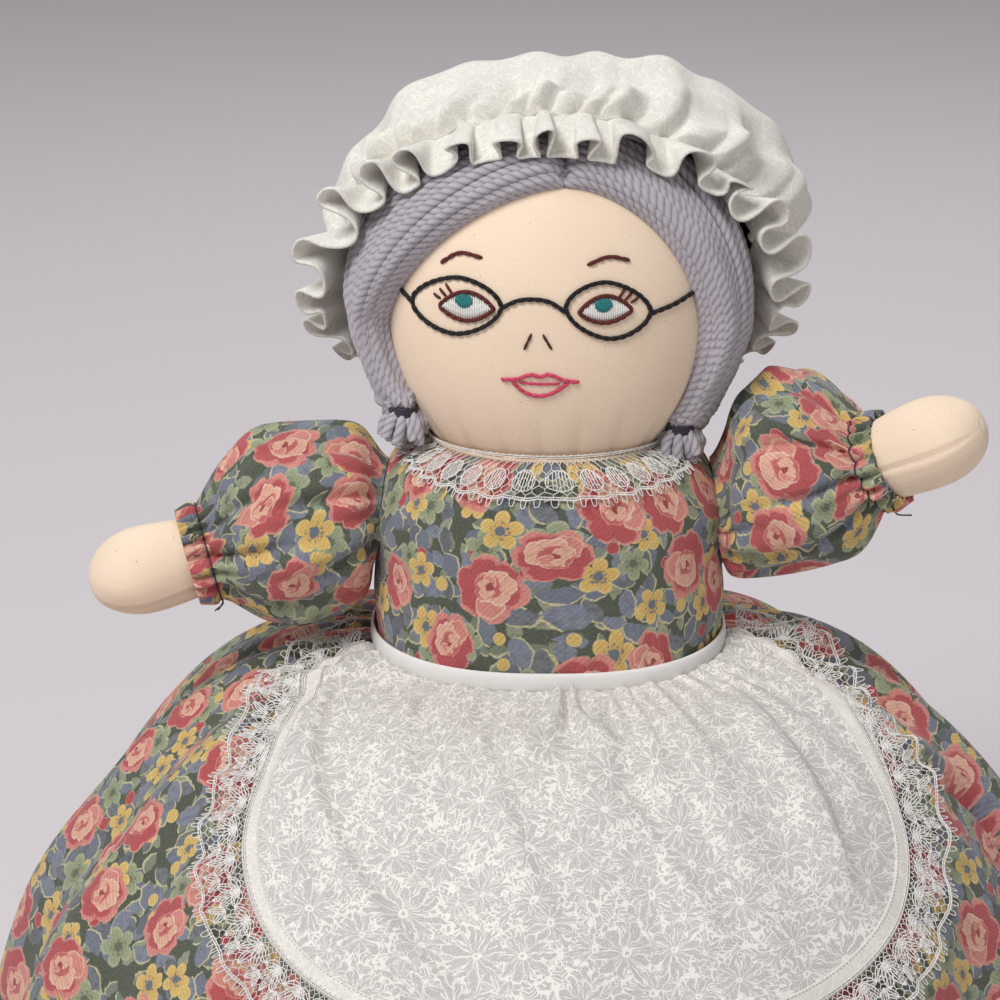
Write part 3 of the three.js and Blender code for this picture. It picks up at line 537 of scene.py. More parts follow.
def rose_layer(g, below, spacing, shift, size):
    """Full-blown roses: dark lobed petals with pale rims, an open cup to one side and small petals in it."""
    offset, (pick, turn, _) = cells(g, spacing, shift, 0.62)
    radius, angle = polar(g, g.wobbled(offset, 330, 2.6), turn)
    share = radius / pick.over(0, 1, size * 0.82, size * 1.08)
    x, y = share * angle.cos(), share * angle.sin()
    blotch = g.noise(g.uv, 420, 2)
    dark, red, pink = paint(160, 44, 56), paint(190, 66, 76), paint(224, 138, 128)
    peach, pale, deep = paint(238, 180, 154), paint(244, 204, 182), paint(200, 92, 94)

    def petals(colour, centre, reach, lobes, depth, body, rim, rim_from):
        dx, dy = x - centre[0], y - centre[1]
        lobe = abs((g.math("ARCTAN2", dy, dx) * lobes).cos())
        edge = (lobe ** 0.6 * depth + (1 - depth)) * reach
        inside = g.math("SQRT", dx * dx + dy * dy) / edge
        petal = g.mix(lobe.over(0.3, 0.05, 0, 0.7), body, shade(body, 0.7))
        petal = g.mix(inside.over(rim_from, rim_from + 0.06), petal, rim)
        return g.mix(inside.over(1.0, 0.95), colour, petal)

    colour = petals(below, (0, 0), 1.0, 3, 0.2, pink, peach, 0.93)
    colour = petals(colour, (0.05, -0.06), 0.86, 3, 0.26, red, red, 0.99)
    blotched = g.mix(blotch.over(0.4, 0.6), dark, red)
    colour = g.mix(share.over(0.9, 0.7) * blotch.over(0.45, 0.6, 0, 0.6), colour, blotched)
    for petal in (((0.3, 0.34), 0.42, 1, 0.1, pink, peach, 0.8),
                  ((-0.1, 0.1), 0.54, 2.5, 0.14, peach, pale, 0.86),
                  ((0.04, -0.04), 0.4, 2, 0.15, deep, pink, 0.86),
                  ((0.16, 0.06), 0.2, 1.5, 0.1, peach, peach, 0.99),
                  ((-0.1, -0.14), 0.2, 1.5, 0.1, pink, peach, 0.7),
                  ((0.06, -0.2), 0.15, 1, 0.1, peach, peach, 0.99),
                  ((0.0, -0.02), 0.1, 1.5, 0.3, dark, dark, 0.99)):
        colour = petals(colour, *petal)
    return colour


def flower_layer(g, below, spacing, shift, size, petal_colour, rim_colour, heart_colour, keep):
    """Five-petalled flowers with a round heart, or small round buds where no heart is given."""
    offset, (pick, turn, there) = cells(g, spacing, shift, 0.8)
    radius, angle = polar(g, offset, turn)
    share = radius / pick.over(0, 1, size * 0.82, size * 1.12)
    inside = share
    if heart_colour:
        inside = share / (abs((angle * 2.5).cos()) ** 0.6 * 0.55 + 0.45)
    colour = g.mix(inside.over(0.75, 0.95), petal_colour, rim_colour)
    if heart_colour:
        colour = g.mix(share.over(0.5, 0.2, 0, 0.6), colour, shade(petal_colour, 0.7))
        specks = g.noise(g.uv, 900, 1).over(0.55, 0.62)
        colour = g.mix(share.over(0.5, 0.4) * specks, colour, heart_colour)
        colour = g.mix(share.over(0.25, 0.2), colour, heart_colour)
    return g.mix(inside.over(1.0, 0.9) * g.math("LESS_THAN", there, keep), below, colour)


def leaf_layer(g, below, spacing, shift, length, width, colours, keep):
    """Rounded leaves, mottled as if painted, with a rim that is light on one side."""
    body, other, rim = colours
    offset, (pick, turn, there) = cells(g, spacing, shift, 0.9)
    radius, angle = polar(g, g.wobbled(offset, 300, 2.2), turn)
    x, y = radius * angle.cos(), radius * angle.sin()
    half = (1 - abs(x / length) ** 2.4) * width
    colour = g.mix(pick.over(0.4, 0.6), body, other)
    colour = g.mix(g.noise(g.uv, 520, 2).over(0.45, 0.65, 0, 0.75), colour, shade(body, 0.62))
    colour = g.mix((half - y).over(1.0, 0.6) * pick.over(0.2, 0.3), colour, rim)
    return g.mix((half - abs(y)).over(0.0, 0.4) * g.math("LESS_THAN", there, keep), below, colour)


def rose_calico():
    g = Graph("rose_calico")
    slate = (paint(96, 104, 116), paint(112, 119, 126), paint(206, 196, 150))
    blue = (paint(128, 136, 154), paint(108, 118, 138), paint(212, 202, 158))
    sage = (paint(150, 158, 132), paint(116, 128, 108), paint(204, 202, 162))
    base = g.mix(g.noise(g.uv, 40, 2), paint(52, 64, 50), paint(70, 82, 64))
    for leaf in ((8.0, (3.1, 7.7, 0), 3.8, 2.1, sage, 0.97), (9.5, (9.3, 5.2, 0), 4.4, 2.4, blue, 0.9),
                 (11.0, (11.4, 2.3, 0), 4.8, 2.8, slate, 0.9), (13.0, (6.9, 12.1, 0), 5.2, 3.2, blue, 0.9)):
        base = leaf_layer(g, base, *leaf)
    dark_heart, grey_heart = paint(88, 102, 78), paint(98, 108, 122)
    for flower in ((15, (5.3, 1.9, 0), 2.3, paint(224, 188, 104), paint(238, 212, 142), None, 0.5),
                   (19, (2.8, 15.3, 0), 2.4, paint(182, 54, 66), paint(228, 148, 134), None, 0.5),
                   (21, (8.2, 4.4, 0), 6.6, paint(152, 162, 126), paint(184, 190, 150), dark_heart, 0.85),
                   (24, (1.7, 9.6, 0), 6.8, paint(226, 186, 98), paint(240, 210, 134), grey_heart, 0.9)):
        base = flower_layer(g, base, *flower)
    base = rose_layer(g, base, 29, (4.6, 6.1, 0), 11.4)
    base = g.mix(g.noise(g.uv, 1500, 2).over(0.3, 0.75, 0.02, 0.2), base, paint(190, 182, 166))
    base = g.mix(g.noise(g.uv, 2300, 2).over(0.42, 0.62, 0, 0.26), base, paint(46, 44, 40))
    weave = g.weave(0.62, diagonal=True)
    base = g.mix((1 - weave) * 0.46, base, paint(74, 74, 66))
    return g.finish(base, weave, 0.3, 0.22)


def gingham():
    g = Graph("rose_gingham")
    check = 6.5
    x, y, _ = g.split(g.vector("SCALE", g.uv, scale=1 / (check * MM)))
    bands = [g.math("GREATER_THAN", g.math("FRACT", v + 512.0), 0.5) for v in (x, y)]
    base = g.ramp((bands[0] + bands[1]) * 0.5,
                  [(0.0, paint(238, 226, 220)), (0.5, paint(206, 142, 146)), (1.0, paint(168, 76, 88))])
    weave = g.weave(0.6)
    base = g.mix((1 - weave) * 0.35, base, paint(150, 90, 96))
    base = g.mix(g.noise(g.uv, 60, 2).over(0.4, 0.7, 0, 0.15), base, paint(120, 70, 76))
    return g.finish(base, weave, 0.3, 0.22)


def etched_leaves(g, tone, spacing, shift, length, width):
    """Grey leaves with a white outline and midrib, over the tone that is there."""
    offset, (_, turn, _) = cells(g, spacing, shift, 0.95)
    radius, angle = polar(g, offset, turn)
    x, y = radius * angle.cos(), abs(radius * angle.sin())
    inside = (1 - abs(x / length) ** 1.5) * width - y
    veins = ((x + y) * 5.0).sin()
    return g.math("MAXIMUM", tone * inside.over(0.0, -0.3), inside.over(0.25, 0.45) * veins.over(0.9, 0.4))


def etched_flowers(g, tone, spacing, shift, size):
    """Grey flowers of uneven, pointed petals with thin white outlines, over the tone that is there."""
    offset, (pick, turn, there) = cells(g, spacing, shift, 0.85)
    radius, angle = polar(g, offset, turn)
    share = radius / pick.over(0, 1, size * 0.75, size * 1.15)
    lobe = abs((angle * 5.5).cos())
    uneven = g.noise(g.uv, 240, 1).over(0.3, 0.7, 0.3, 0.85)
    inside = share / (lobe ** 0.7 * uneven + 0.35)
    streak = g.node("ShaderNodeCombineXYZ")
    for value, socket in zip((angle * 11, share * 2.5, there * 50), streak.inputs):
        g.plug(value, socket)
    fill = inside.over(0.95, 0.88) * lobe.over(0.16, 0.3)
    fill = fill * g.noise(streak.outputs[0], 1, 2).over(0.36, 0.42) * share.over(0.11, 0.15)
    fill = g.math("MAXIMUM", fill, share.over(0.06, 0.04))
    return g.math("MAXIMUM", tone * inside.over(1.0, 1.05), fill)


def tone_on_tone(name, print_colour, ground):
    """White cotton printed all over with etched flowers and leaves in a second white."""
    g = Graph(name)
    flat = g.uv
    g.uv = g.wobbled(flat, 250, 3.2 * MM)
    tone = g.noise(g.uv, 700, 3).over(0.47, 0.53)
    for leaf in ((7.5, (3.3, 8.1, 0), 5.0, 2.0), (9.5, (7.4, 1.6, 0), 6.4, 2.2)):
        tone = etched_leaves(g, tone, *leaf)
    for flower in ((11, (2.7, 4.9, 0), 6.0), (14, (9.7, 6.3, 0), 7.5), (19, (5.4, 1.2, 0), 9.5)):
        tone = etched_flowers(g, tone, *flower)
    g.uv = flat
    base = g.mix(tone * g.noise(flat, 2400, 1).over(0.35, 0.55, 0.55, 1.0), ground, print_colour)
    weave = g.weave(0.5)
    base = g.mix((1 - weave) * 0.4, base, shade(print_colour, 0.85))
    return g.finish(base, weave, 0.25, 0.2)


def yarn(name, dark, middle, light):
    """Plied wool. Along a strand the first coordinate is its length and the second the angle round it. The
    grooves between the plies are darkened with the first colour, a painted shade, and the ply crests are
    lightened with the last colour, a painted highlight. The last colour also gives the pale fuzz.
    """
    g = Graph(name)
    position = g.node("ShaderNodeTexCoord").outputs["Object"]
    along, angle, _ = g.split(g.vector("SCALE", g.uv, scale=1 / MM))
    ply = abs(((angle - along * (TURN * PLY_TWIST)) * (PLIES / 2)).cos())
    fuzz = g.noise(position, 2600, 3)
    base = g.ramp(g.noise(position, 90, 1), [(0.35, shade(middle, 0.92)), (0.65, middle)])
    # Painted shade: darker in the grooves between the plies
    base = g.mix(ply.over(0.42, 0.05, 0, 0.72), base, dark)
    # Painted highlight: lighter on the crests of the plies
    base = g.mix(ply.over(0.75, 1.0, 0, 0.3), base, light)
    base = g.mix(fuzz.over(0.5, 0.8, 0, 0.4), base, light)
    return g.finish(base, ply * 0.8 + fuzz * 0.4, 0.4, 0.4, roughness=0.95, sheen=0.3)


def thread(name, colour):
    g = Graph(name)
    x, y, _ = g.split(g.uv)
    # Painted shade and highlight: the thread is darker in the grooves between its twisted strands and lighter
    # on their crests
    strands = (x * (3.2 / MM) + y * (2 / MM)).sin().over(-1, 1)
    base = g.mix(strands, shade(colour, 0.72), colour)
    return g.finish(base, strands, 0.4, 0.15, roughness=0.45, sheen=0.1)


def plain_thread(name, colour):
    g = Graph(name)
    position = g.node("ShaderNodeTexCoord").outputs["Object"]
    base = g.mix(g.noise(position, 300, 2).over(0.3, 0.7), shade(colour, 0.88), colour)
    return g.finish(base, g.noise(position, 4000, 1), 0.2, 0.1)


MUSLIN = muslin()
CALICO = rose_calico()
GINGHAM = gingham()
CAP_CLOTH = tone_on_tone("cap_cotton", paint(216, 213, 204), paint(236, 232, 221))
APRON_CLOTH = tone_on_tone("apron_cotton", paint(190, 187, 182), paint(245, 240, 233))
HEM_CLOTH = tone_on_tone("hem_cotton", paint(220, 216, 208), paint(240, 235, 226))
BAND_CLOTH = tone_on_tone("band_cotton", paint(229, 226, 222), paint(232, 229, 225))
LACE_THREAD = plain_thread("lace_thread", paint(238, 235, 230))
# For each yarn the first colour is the painted shade in the ply grooves, and the last is the painted highlight
# on the ply crests and the pale fuzz
GREY_YARN = yarn("grey_yarn", paint(98, 93, 100), paint(170, 164, 171), paint(204, 199, 204))
BROWN_YARN = yarn("brown_yarn", paint(70, 44, 28), paint(104, 70, 46), paint(140, 100, 70))
SEEN_THREADS = {"black": (15, 13, 14), "maroon": (96, 30, 26), "white": (244, 242, 236), "teal": (40, 130, 130),
                "brown": (78, 42, 30), "pink": (214, 70, 104), "part": (128, 122, 138), "dark": (62, 56, 70)}
THREAD = {name: thread(f"{name}_thread", paint(*seen)) for name, seen in SEEN_THREADS.items()}

DRESS = {"upper": (CALICO, "rose_calico"), "lower": (GINGHAM, "rose_gingham")}
PART_THREADS = {"upper": THREAD["part"], "lower": THREAD["brown"]}
HAIR = {"upper": (GREY_YARN, "grey_yarn"), "lower": (BROWN_YARN, "brown_yarn")}


def done(piece, body, slot, *nodes, lifts=False):
    """Attaches a finished piece to the body it moves with and hides the solids it stands for. slot, its finish,
    is not used. Cloth that lifts gets a mesh of its own."""
    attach(piece, body)
    if lifts:
        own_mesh(piece)
    if nodes:
        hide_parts(*nodes)


# Stuffed head and torso

TORSO["neck"] = NECK_HALF
BODICE["neck"] = (NECK_HALF[0] + 1.3, NECK_HALF[1] + 1.3)


def body_section(size, height):
    rounding = np.clip((height - SHOULDER) / (NECK - 0.3 - SHOULDER), 0, 1)
    shoulder = np.sqrt(1 - rounding ** 2)
    rise = smooth(height / SHOULDER)
    width, depth = (mix(neck, mix(waist, chest, rise), shoulder)
                    for neck, waist, chest in zip(size["neck"], size["waist"], size["chest"]))
    return width, depth, mix(2, SQUARENESS, shoulder)


def body_point(size, height, angle, grow=0.0):
    width, depth, exponent = body_section(size, height)
    x = (width + grow) * signed_power(np.cos(angle), 2 / exponent)
    y = (depth + grow) * signed_power(np.sin(angle), 2 / exponent)
    return stack(x, y, height)


def bodice_side(y, height):
    width, depth, exponent = body_section(BODICE, np.clip(height, 0, NECK))
    return width * (1 - np.minimum(1, np.abs(y) / depth) ** exponent) ** (1 / exponent)


def head_rise(height):
    return np.where(height < HEAD_CENTRE, HEAD_DROP, HEAD_RISE)


def on_face(points, grow):
    """Points of the head's front from their side and height, with the outward direction there."""
    p = np.asarray(points, float)
    x, h = p[..., 0], p[..., 1]
    rise = head_rise(h)
    y = -HEAD_DEPTH * np.sqrt(np.maximum(0, 1 - (x / HEAD_WIDTH) ** 2 - ((h - HEAD_CENTRE) / rise) ** 2))
    normal = unit(stack(x / HEAD_WIDTH ** 2, y / HEAD_DEPTH ** 2, (h - HEAD_CENTRE) / rise ** 2))
    return stack(x, y, h) + normal * grow, normal


def make_body(doll):
    a, s = np.meshgrid(circle(144), np.linspace(-NECK_ANGLE, math.pi / 2 * 0.985, 72))
    lump = 0.45 * np.sin(3 * a + 1.1) * np.cos(s) * np.sin(2.3 * s) + 0.3 * np.sin(5 * a + 2 * s)
    near_neck = smooth((-s - 0.35) / 0.4)
    crease = -0.9 * near_neck * np.maximum(0, np.cos(19 * a + 0.8 * np.sin(4 * a))) ** 3
    rise = np.where(s < 0, HEAD_DROP, HEAD_RISE) * np.sin(s)
    ray = stack(HEAD_WIDTH * np.cos(s) * np.cos(a), HEAD_DEPTH * np.cos(s) * np.sin(a), rise)
    points = ray + [0, 0, HEAD_CENTRE] + unit(ray) * (0.2 * lump + crease)[..., None]
    uv = stack(a * HEAD_WIDTH, s * HEAD_RISE)
    head = grid_piece(f"{doll}_head", placed(points, doll), MUSLIN, uv, closed=True, caps=True)
    done(head, "root", "muslin", f"{doll}_head_skin", f"{doll}_filling")

    a, h = np.meshgrid(circle(72), np.linspace(0.2, NECK - 0.3, 30))
    points = placed(body_point(TORSO, h, a), doll)
    torso = grid_piece(f"{doll}_torso", points, MUSLIN, stack(a * TORSO["waist"][0], h), closed=True, caps=True)
    done(torso, "root", "muslin", f"{doll}_torso_skin")


# Embroidered face

FRAME_THREAD = 0.82
LID_THREAD = 0.74
LIP_THREAD = 0.66
FINE_THREAD = 0.45


def oval(centre, half_width, half_height, tilt):
    turn = np.linspace(0, TURN, 49)
    side = half_width * signed_power(np.cos(turn), 1.2)
    rise = half_height * signed_power(np.sin(turn), 1.2) + tilt * np.cos(turn)
    return stack(centre[0] + side, centre[1] + rise)


def lid(left, right, rise):
    """An eyelid between two corners, bowed up or down to a height."""
    t = np.linspace(0, 1, 16)
    bow = np.sin(math.pi * t) ** 0.8
    return np.outer(1 - t, left) + np.outer(t, right) + stack(0, bow * (rise - (left[1] + right[1]) / 2))


class Face:
    """Embroidery on a doll's face, with a bundle of stitches for each colour of thread."""

    def __init__(self, *colours):
        self.threads = {colour: Bundle() for colour in colours}

    def stitches(self, colour, start, end, radius, grow=0.0, rise=0.7):
        a, normal_a = on_face(start, grow)
        b, normal_b = on_face(end, grow)
        self.threads[colour].stitches(a, b, unit(normal_a + normal_b), radius, rise)

    def line(self, colour, path, radius, step=2.6, grow=0.0):
        """Stem stitch at even steps along a path, each stitch reaching a little past the next one's start."""
        p = np.asarray(path, float)
        length = travel(p)
        at = np.linspace(0, length[-1], max(2, int(round(length[-1] / step)) + 1))
        p = stack(np.interp(at, length, p[:, 0]), np.interp(at, length, p[:, 1]))
        lap = 0.18 * np.diff(p, axis=0)
        self.stitches(colour, p[:-1] - lap, p[1:] + lap, radius, grow)

    def satin(self, colour, side, low, high, radius, grow):
        """Side-by-side upright stitches between two edges."""
        self.stitches(colour, stack(side, low), stack(side, high), radius, grow, rise=1.0)

    def disc(self, colour, centre, half_width, tall, count, share, radius, grow):
        steps = np.linspace(-share * half_width, share * half_width, count)
        reach = tall * np.sqrt(half_width ** 2 - steps ** 2)
        self.satin(colour, centre[0] + steps, centre[1] - reach, centre[1] + reach, radius, grow)

    def finish(self, doll):
        for colour, bundle in self.threads.items():
            bundle.verts = [placed(v, doll) for v in bundle.verts]
            done(bundle.piece(f"{doll}_face_{colour}", THREAD[colour]), "root", "dark_thread")


def make_granny_face():
    face = Face("black", "maroon", "white", "teal", "brown", "pink")
    for lens in (((-29.3, 124.1), 14.1, 8.9, 1.0), ((17.8, 123.7), 13.4, 8.9, -1.6)):
        face.line("black", oval(*lens), FRAME_THREAD)
    bridge = spline([(-15.2, 124.8), (-10.5, 127.3), (-5, 127.9), (0, 127), (4.4, 123.9)], 20)
    temples = [(-48.4, 126.6), (-43.0, 122.8)], [(30.8, 121.4), (39, 123.2), (47.2, 126.2)]
    for path in (bridge, *temples):
        face.line("black", path, FRAME_THREAD)

    for left, right, top, bottom, iris, outer in (
            ((-34.6, 123.4), (-17.6, 124.3), 129.0, 119.9, (-26.8, 126.1), -1),
            ((8.6, 123.6), (25.2, 123.4), 128.6, 120.0, (16.2, 125.7), 1)):
        upper, lower = lid(left, right, top), lid(left, right, bottom)
        for edge in (upper, lower):
            face.line("maroon", edge, LID_THREAD, 2.2, 0.1)
        steps = np.linspace(left[0] + 1.2, right[0] - 1.2, 21)
        low, high = np.interp(steps, *lower.T) + 0.4, np.interp(steps, *upper.T) - 0.4
        face.satin("white", steps, low, high, 0.42, 0.05)
        face.disc("teal", iris, 2.6, 1.0, 9, 0.9, 0.4, 0.55)
        corner = left if outer < 0 else right
        for lash in range(3):
            root = (corner[0] - outer * (0.4 + 1.9 * lash), corner[1] + 2.2 + 0.9 * lash)
            tip = (root[0] + outer * 2.5, root[1] + 1.4 + 1.0 * lash)
            face.stitches("maroon", [root], [tip], 0.5)

    brows = [(-34.0, 136.6), (-28.2, 140.4), (-21.6, 139.6)], [(11.6, 138.2), (17.8, 140.2), (24.2, 138.6)]
    for brow in brows:
        face.line("maroon", spline(brow, 12), LID_THREAD)
    for nostril in ([(-8.2, 112.0), (-6.2, 116.6)], [(-2.3, 116.4), (0.1, 112.2)]):
        face.line("brown", nostril, 0.5)
    upper_lip = [(-15.2, 101.4), (-10, 101.8), (-6.5, 103.6), (-3.3, 102.6), (-0.2, 103.7), (3.8, 101.6),
                 (8.6, 100.8)]
    lower_lip = [(-12, 101), (-8.6, 97.6), (-3.6, 96.0), (1.6, 97.6), (5.6, 100.8)]
    face.line("pink", spline(upper_lip, 30), LIP_THREAD)
    face.line("pink", spline(lower_lip, 24), LIP_THREAD)
    face.line("pink", spline([(-9.6, 100.6), (-3.4, 100.2), (2.6, 100.4)], 12), FINE_THREAD)
    face.finish("upper")


def make_girl_face():
    face = Face("brown", "white", "pink", "black")
    for outer in (-1, 1):
        x, h = outer * 21.0, 124.0
        face.disc("brown", (x, h), 4.6, 1.25, 13, 0.95, FINE_THREAD, 0.1)
        face.stitches("white", [(x + 0.8, h + 2.4)], [(x + 2.0, h + 2.4)], 0.7, 0.7)
        face.line("black", spline([(x - 6.4, h + 3.4), (x, h + 7.2), (x + 6.4, h + 3.4)], 14), FINE_THREAD)
        face.line("brown", spline([(x - 6, 136.5), (x + outer, 139.2), (x + 6, 137.0)], 12), FINE_THREAD)
    face.line("brown", spline([(-2.2, 112.6), (0, 111.4), (2.2, 112.6)], 8), FINE_THREAD, 1.6)
    face.line("pink", spline([(-11, 102.6), (-5.5, 98.8), (0, 97.6), (5.5, 98.8), (11, 102.6)], 24), 0.6)
    face.finish("lower")


# Yarn hair

FACE_WIDTH = {("upper", -1): 51.5, ("upper", 1): 48.0, ("lower", -1): 49.0, ("lower", 1): 49.0}
FACE_HEIGHT = 49.0
FACE_CENTRE = 112.0
FACE_ROUNDNESS = {("upper", -1): 1.74, ("upper", 1): 1.86, ("lower", -1): 2.4, ("lower", 1): 2.4}
PARTING = {"upper": 4.0, "lower": 0.0}
TIE_SHIFT = {("upper", -1): (3, 2, 0), ("upper", 1): (-8, 2, -6), ("lower", -1): (0, 0, 0),
             ("lower", 1): (0, 0, 0)}
TUFT = 22
STRAND = 1.8
STRANDS = 32
PART_FROM = 53
PART_TO = 202
SCATTER = 2.4
STRAND_STEPS = {"upper": (120, 12), "lower": (70, 9)}


def hair_place(direction, share):
    """A place in the hair from a direction, with share 0 on the head and 1 on the hair's outer surface."""
    x, y, z = np.moveaxis(unit(direction), -1, 0)
    rise = np.where(z < 0, HEAD_DROP, HEAD_RISE) + share * HAIR_TOP
    width, depth = HEAD_WIDTH + share * HAIR_SIDE, HEAD_DEPTH + share * HAIR_BACK
    return stack(x * width, y * depth, HEAD_CENTRE + z * rise)


def head_direction(x, h):
    """The direction in which a place on the head's front lies."""
    across, up = x / HEAD_WIDTH, (h - HEAD_CENTRE) / head_rise(h)
    return stack(across, -np.sqrt(np.maximum(0.0, 1 - across ** 2 - up ** 2)), up)


def bunch_place(doll, side):
    """Where a side's hair is tied, half way through its thickness."""
    middle = []
    for share in (0, 1):
        width, depth = HEAD_WIDTH + share * HAIR_SIDE, HEAD_DEPTH + share * HAIR_BACK
        drop = HEAD_DROP + share * HAIR_TOP
        ring = math.sqrt(1 - ((HEAD_CENTRE - HAIR_HEM) / drop) ** 2)
        middle.append(width * ring * math.sqrt(1 - (BUNCH_BACK / (depth * ring)) ** 2))
    return np.array([side * sum(middle) / 2, BUNCH_BACK, HAIR_HEM - 1]) + TIE_SHIFT[doll, side]


def strand_path(doll, side, across, count, spread, shift):
    """One strand from the parting to the tie, with the way out from the head along it. across runs from 0
    at the face to 1 at the nape."""
    t = np.linspace(0, 1, count)
    start = math.radians(mix(PART_FROM, PART_TO, across))
    tie = bunch_place(doll, side)
    end = unit(np.array([tie[0] / HEAD_WIDTH, tie[1] / HEAD_DEPTH, (tie[2] - HEAD_CENTRE) / HEAD_DROP]))
    part = PARTING[doll]
    first = unit(np.array([(part - 0.4 * side) / HEAD_WIDTH, -math.cos(start), math.sin(start)]))
    angle = math.acos(np.clip(first @ end, -1, 1))
    swept = (np.outer(np.sin((1 - t) * angle), first) + np.outer(np.sin(t * angle), end)) / math.sin(angle)
    turn = mix(math.pi / 2 - 0.02, -0.5, t)
    power = 2 / FACE_ROUNDNESS[doll, side]
    outer = signed_power(np.cos(turn), power)
    h = FACE_CENTRE + FACE_HEIGHT * signed_power(np.sin(turn), power)
    edge = head_direction(side * FACE_WIDTH[doll, side] * outer + part * (1 - outer), h)
    direction = unit(mix(swept, edge, (1 - across) ** 3))
    full = 0.32 + 0.6 * smooth(across / 0.16) + spread
    points = hair_place(direction, full * smooth(t / 0.1 + 0.35))
    gather = smooth((t - 0.72) / 0.28)[:, None]
    where = SCATTER * (across * 46 + shift)
    reach = 4.0 * math.sqrt((across * 7.3 + shift * 0.37) % 1)
    tied = tie + np.array([reach * math.cos(where), reach * math.sin(where), -2.0])
    points = mix(points, points * 0.25 + tied * 0.75, gather)
    points = mix(points, tied, smooth((t - 0.9) / 0.1)[:, None])
    return points, unit(points - [0, 0, HEAD_CENTRE]) * [1, 1, DOLLS[doll]]


def make_hair(doll, seed):
    random = np.random.default_rng(seed)
    material, slot = HAIR[doll]
    steps, sides = STRAND_STEPS[doll]
    strands, stitches = Bundle(), Bundle()

    def resting(points):
        """Places in the frame, pressed flat where the hair stands on the floor."""
        out = placed(points, doll)
        out[..., 2] = np.maximum(out[..., 2], 1.12 * STRAND)
        return out

    for side in SIDES.values():
        for i in range(STRANDS):
            across = np.clip((i + random.uniform(-0.12, 0.12)) / (STRANDS - 1), 0, 1)
            spread, shift = random.uniform(-0.05, 0.07), random.uniform(0, 1)
            path, normals = strand_path(doll, side, across, steps, spread, shift)
            strands.tube(resting(path), STRAND * random.uniform(0.94, 1.06), normals, sides, plied=True,
                         start=random.uniform(0, 9))
            path, normals = strand_path(doll, side, min(1, (i + 0.5) / (STRANDS - 1)), 50, -0.26, 0.5)
            strands.tube(resting(path), STRAND, normals, 6)
    done(strands.piece(f"{doll}_hair_strands", material), "root", slot, f"{doll}_hair")

    parts = np.radians(np.linspace(PART_FROM + 1, PART_TO - 2, 56))
    middle = hair_place(stack(PARTING[doll] / HEAD_WIDTH, -np.cos(parts), np.sin(parts)), 0.5)
    reach = np.gradient(middle, axis=0) * 0.3 + [2.2, 0, 0]
    up = unit(middle - [0, 0, HEAD_CENTRE]) * [1, 1, DOLLS[doll]]
    stitches.stitches(resting(middle - reach), resting(middle + reach), up, 0.35)
    done(stitches.piece(f"{doll}_parting", PART_THREADS[doll]), "root", "dark_thread")

    for word, side in SIDES.items():
        tie = bunch_place(doll, side)
        tuft, wraps = Bundle(), Bundle()
        for i in range(TUFT):
            away = np.array([math.cos(SCATTER * i), math.sin(SCATTER * i), 0]) * math.sqrt((i + 0.5) / TUFT)
            line = tie + np.outer([3.4, 2.9, 7.0, 7.4], away) + stack(0, 0, [1.5, -4.5, -9.0, -14.0])
            line[-1] += random.uniform(-1.5, 1.5, 3)
            path = placed(spline(line, 18), doll)
            tuft.tube(path, STRAND * np.linspace(0.8, 0.95, 18), np.array([0.3, -1.0, 0.2]), 10, plied=True)
        done(tuft.piece(f"{doll}_bunch_yarn_{word}", material), "root", slot, f"{doll}_bunch_{word}")
        turn = np.linspace(0, 4 * TURN, 120)
        out = stack(np.cos(turn), np.sin(turn), 0)
        coil = tie + out * (4.6 + 0.25 * np.sin(3 * turn))[:, None] - stack(0, 0, 3.2 + turn / TURN * 0.75)
        wraps.tube(placed(coil, doll), 0.4, out, 6)
        tied = wraps.piece(f"{doll}_tie_{word}", THREAD["dark"])
        done(tied, "root", "dark_thread", f"{doll}_hair_tie_{word}")


# Mob cap

CAP_UP = np.array([0, -math.cos(CAP_LEAN), math.sin(CAP_LEAN)])
CAP_BACK = np.array([0, math.sin(CAP_LEAN), math.cos(CAP_LEAN)])
RUFFLES = 28
RUFFLE_DEEP = 7.2
RUFFLE_LOOP = 2.2


def nape_lift(angle):
    return CAP_NAPE_LIFT * np.maximum(0, -np.sin(angle)) ** 2


def cap_point(angle, distance, behind, lift=1.0, sway=0.0):
    back = behind + lift * nape_lift(angle)
    ray = stack(np.cos(angle), 0 * angle, 0 * angle) + np.sin(angle)[..., None] * CAP_UP
    return CAP_CENTRE + ray * np.asarray(distance)[..., None] + back[..., None] * CAP_BACK + stack(sway, 0, 0)


def hair_reach(angle, behind):
    """Distance from the cap's axis out to the hair."""
    low, high = np.zeros_like(angle), np.full_like(angle, 3 * HEAD_WIDTH)
    for _ in range(40):
        middle = (low + high) / 2
        p = cap_point(angle, middle, behind + 0 * angle)
        half = stack(HEAD_WIDTH + HAIR_SIDE, HEAD_DEPTH + HAIR_BACK, head_rise(p[..., 2]) + HAIR_TOP)
        outside = np.sum(((p - [0, 0, HEAD_CENTRE]) / half) ** 2, axis=-1) > 1
        high = np.where(outside, middle, high)
        low = np.where(outside, low, middle)
    return high


def cap_ring(angle):
    """The gathered line where crown and frill meet, outside the elastic."""
    return hair_reach(angle, 0) + 3.8 + 1.1 * np.cos(ruffle_phase(angle))


def ruffle_phase(angle):
    uneven = 1.3 * np.sin(3 * angle + 0.6) + 0.9 * np.sin(7 * angle + 2) + 0.5 * np.sin(19 * angle)
    return RUFFLES * angle + uneven


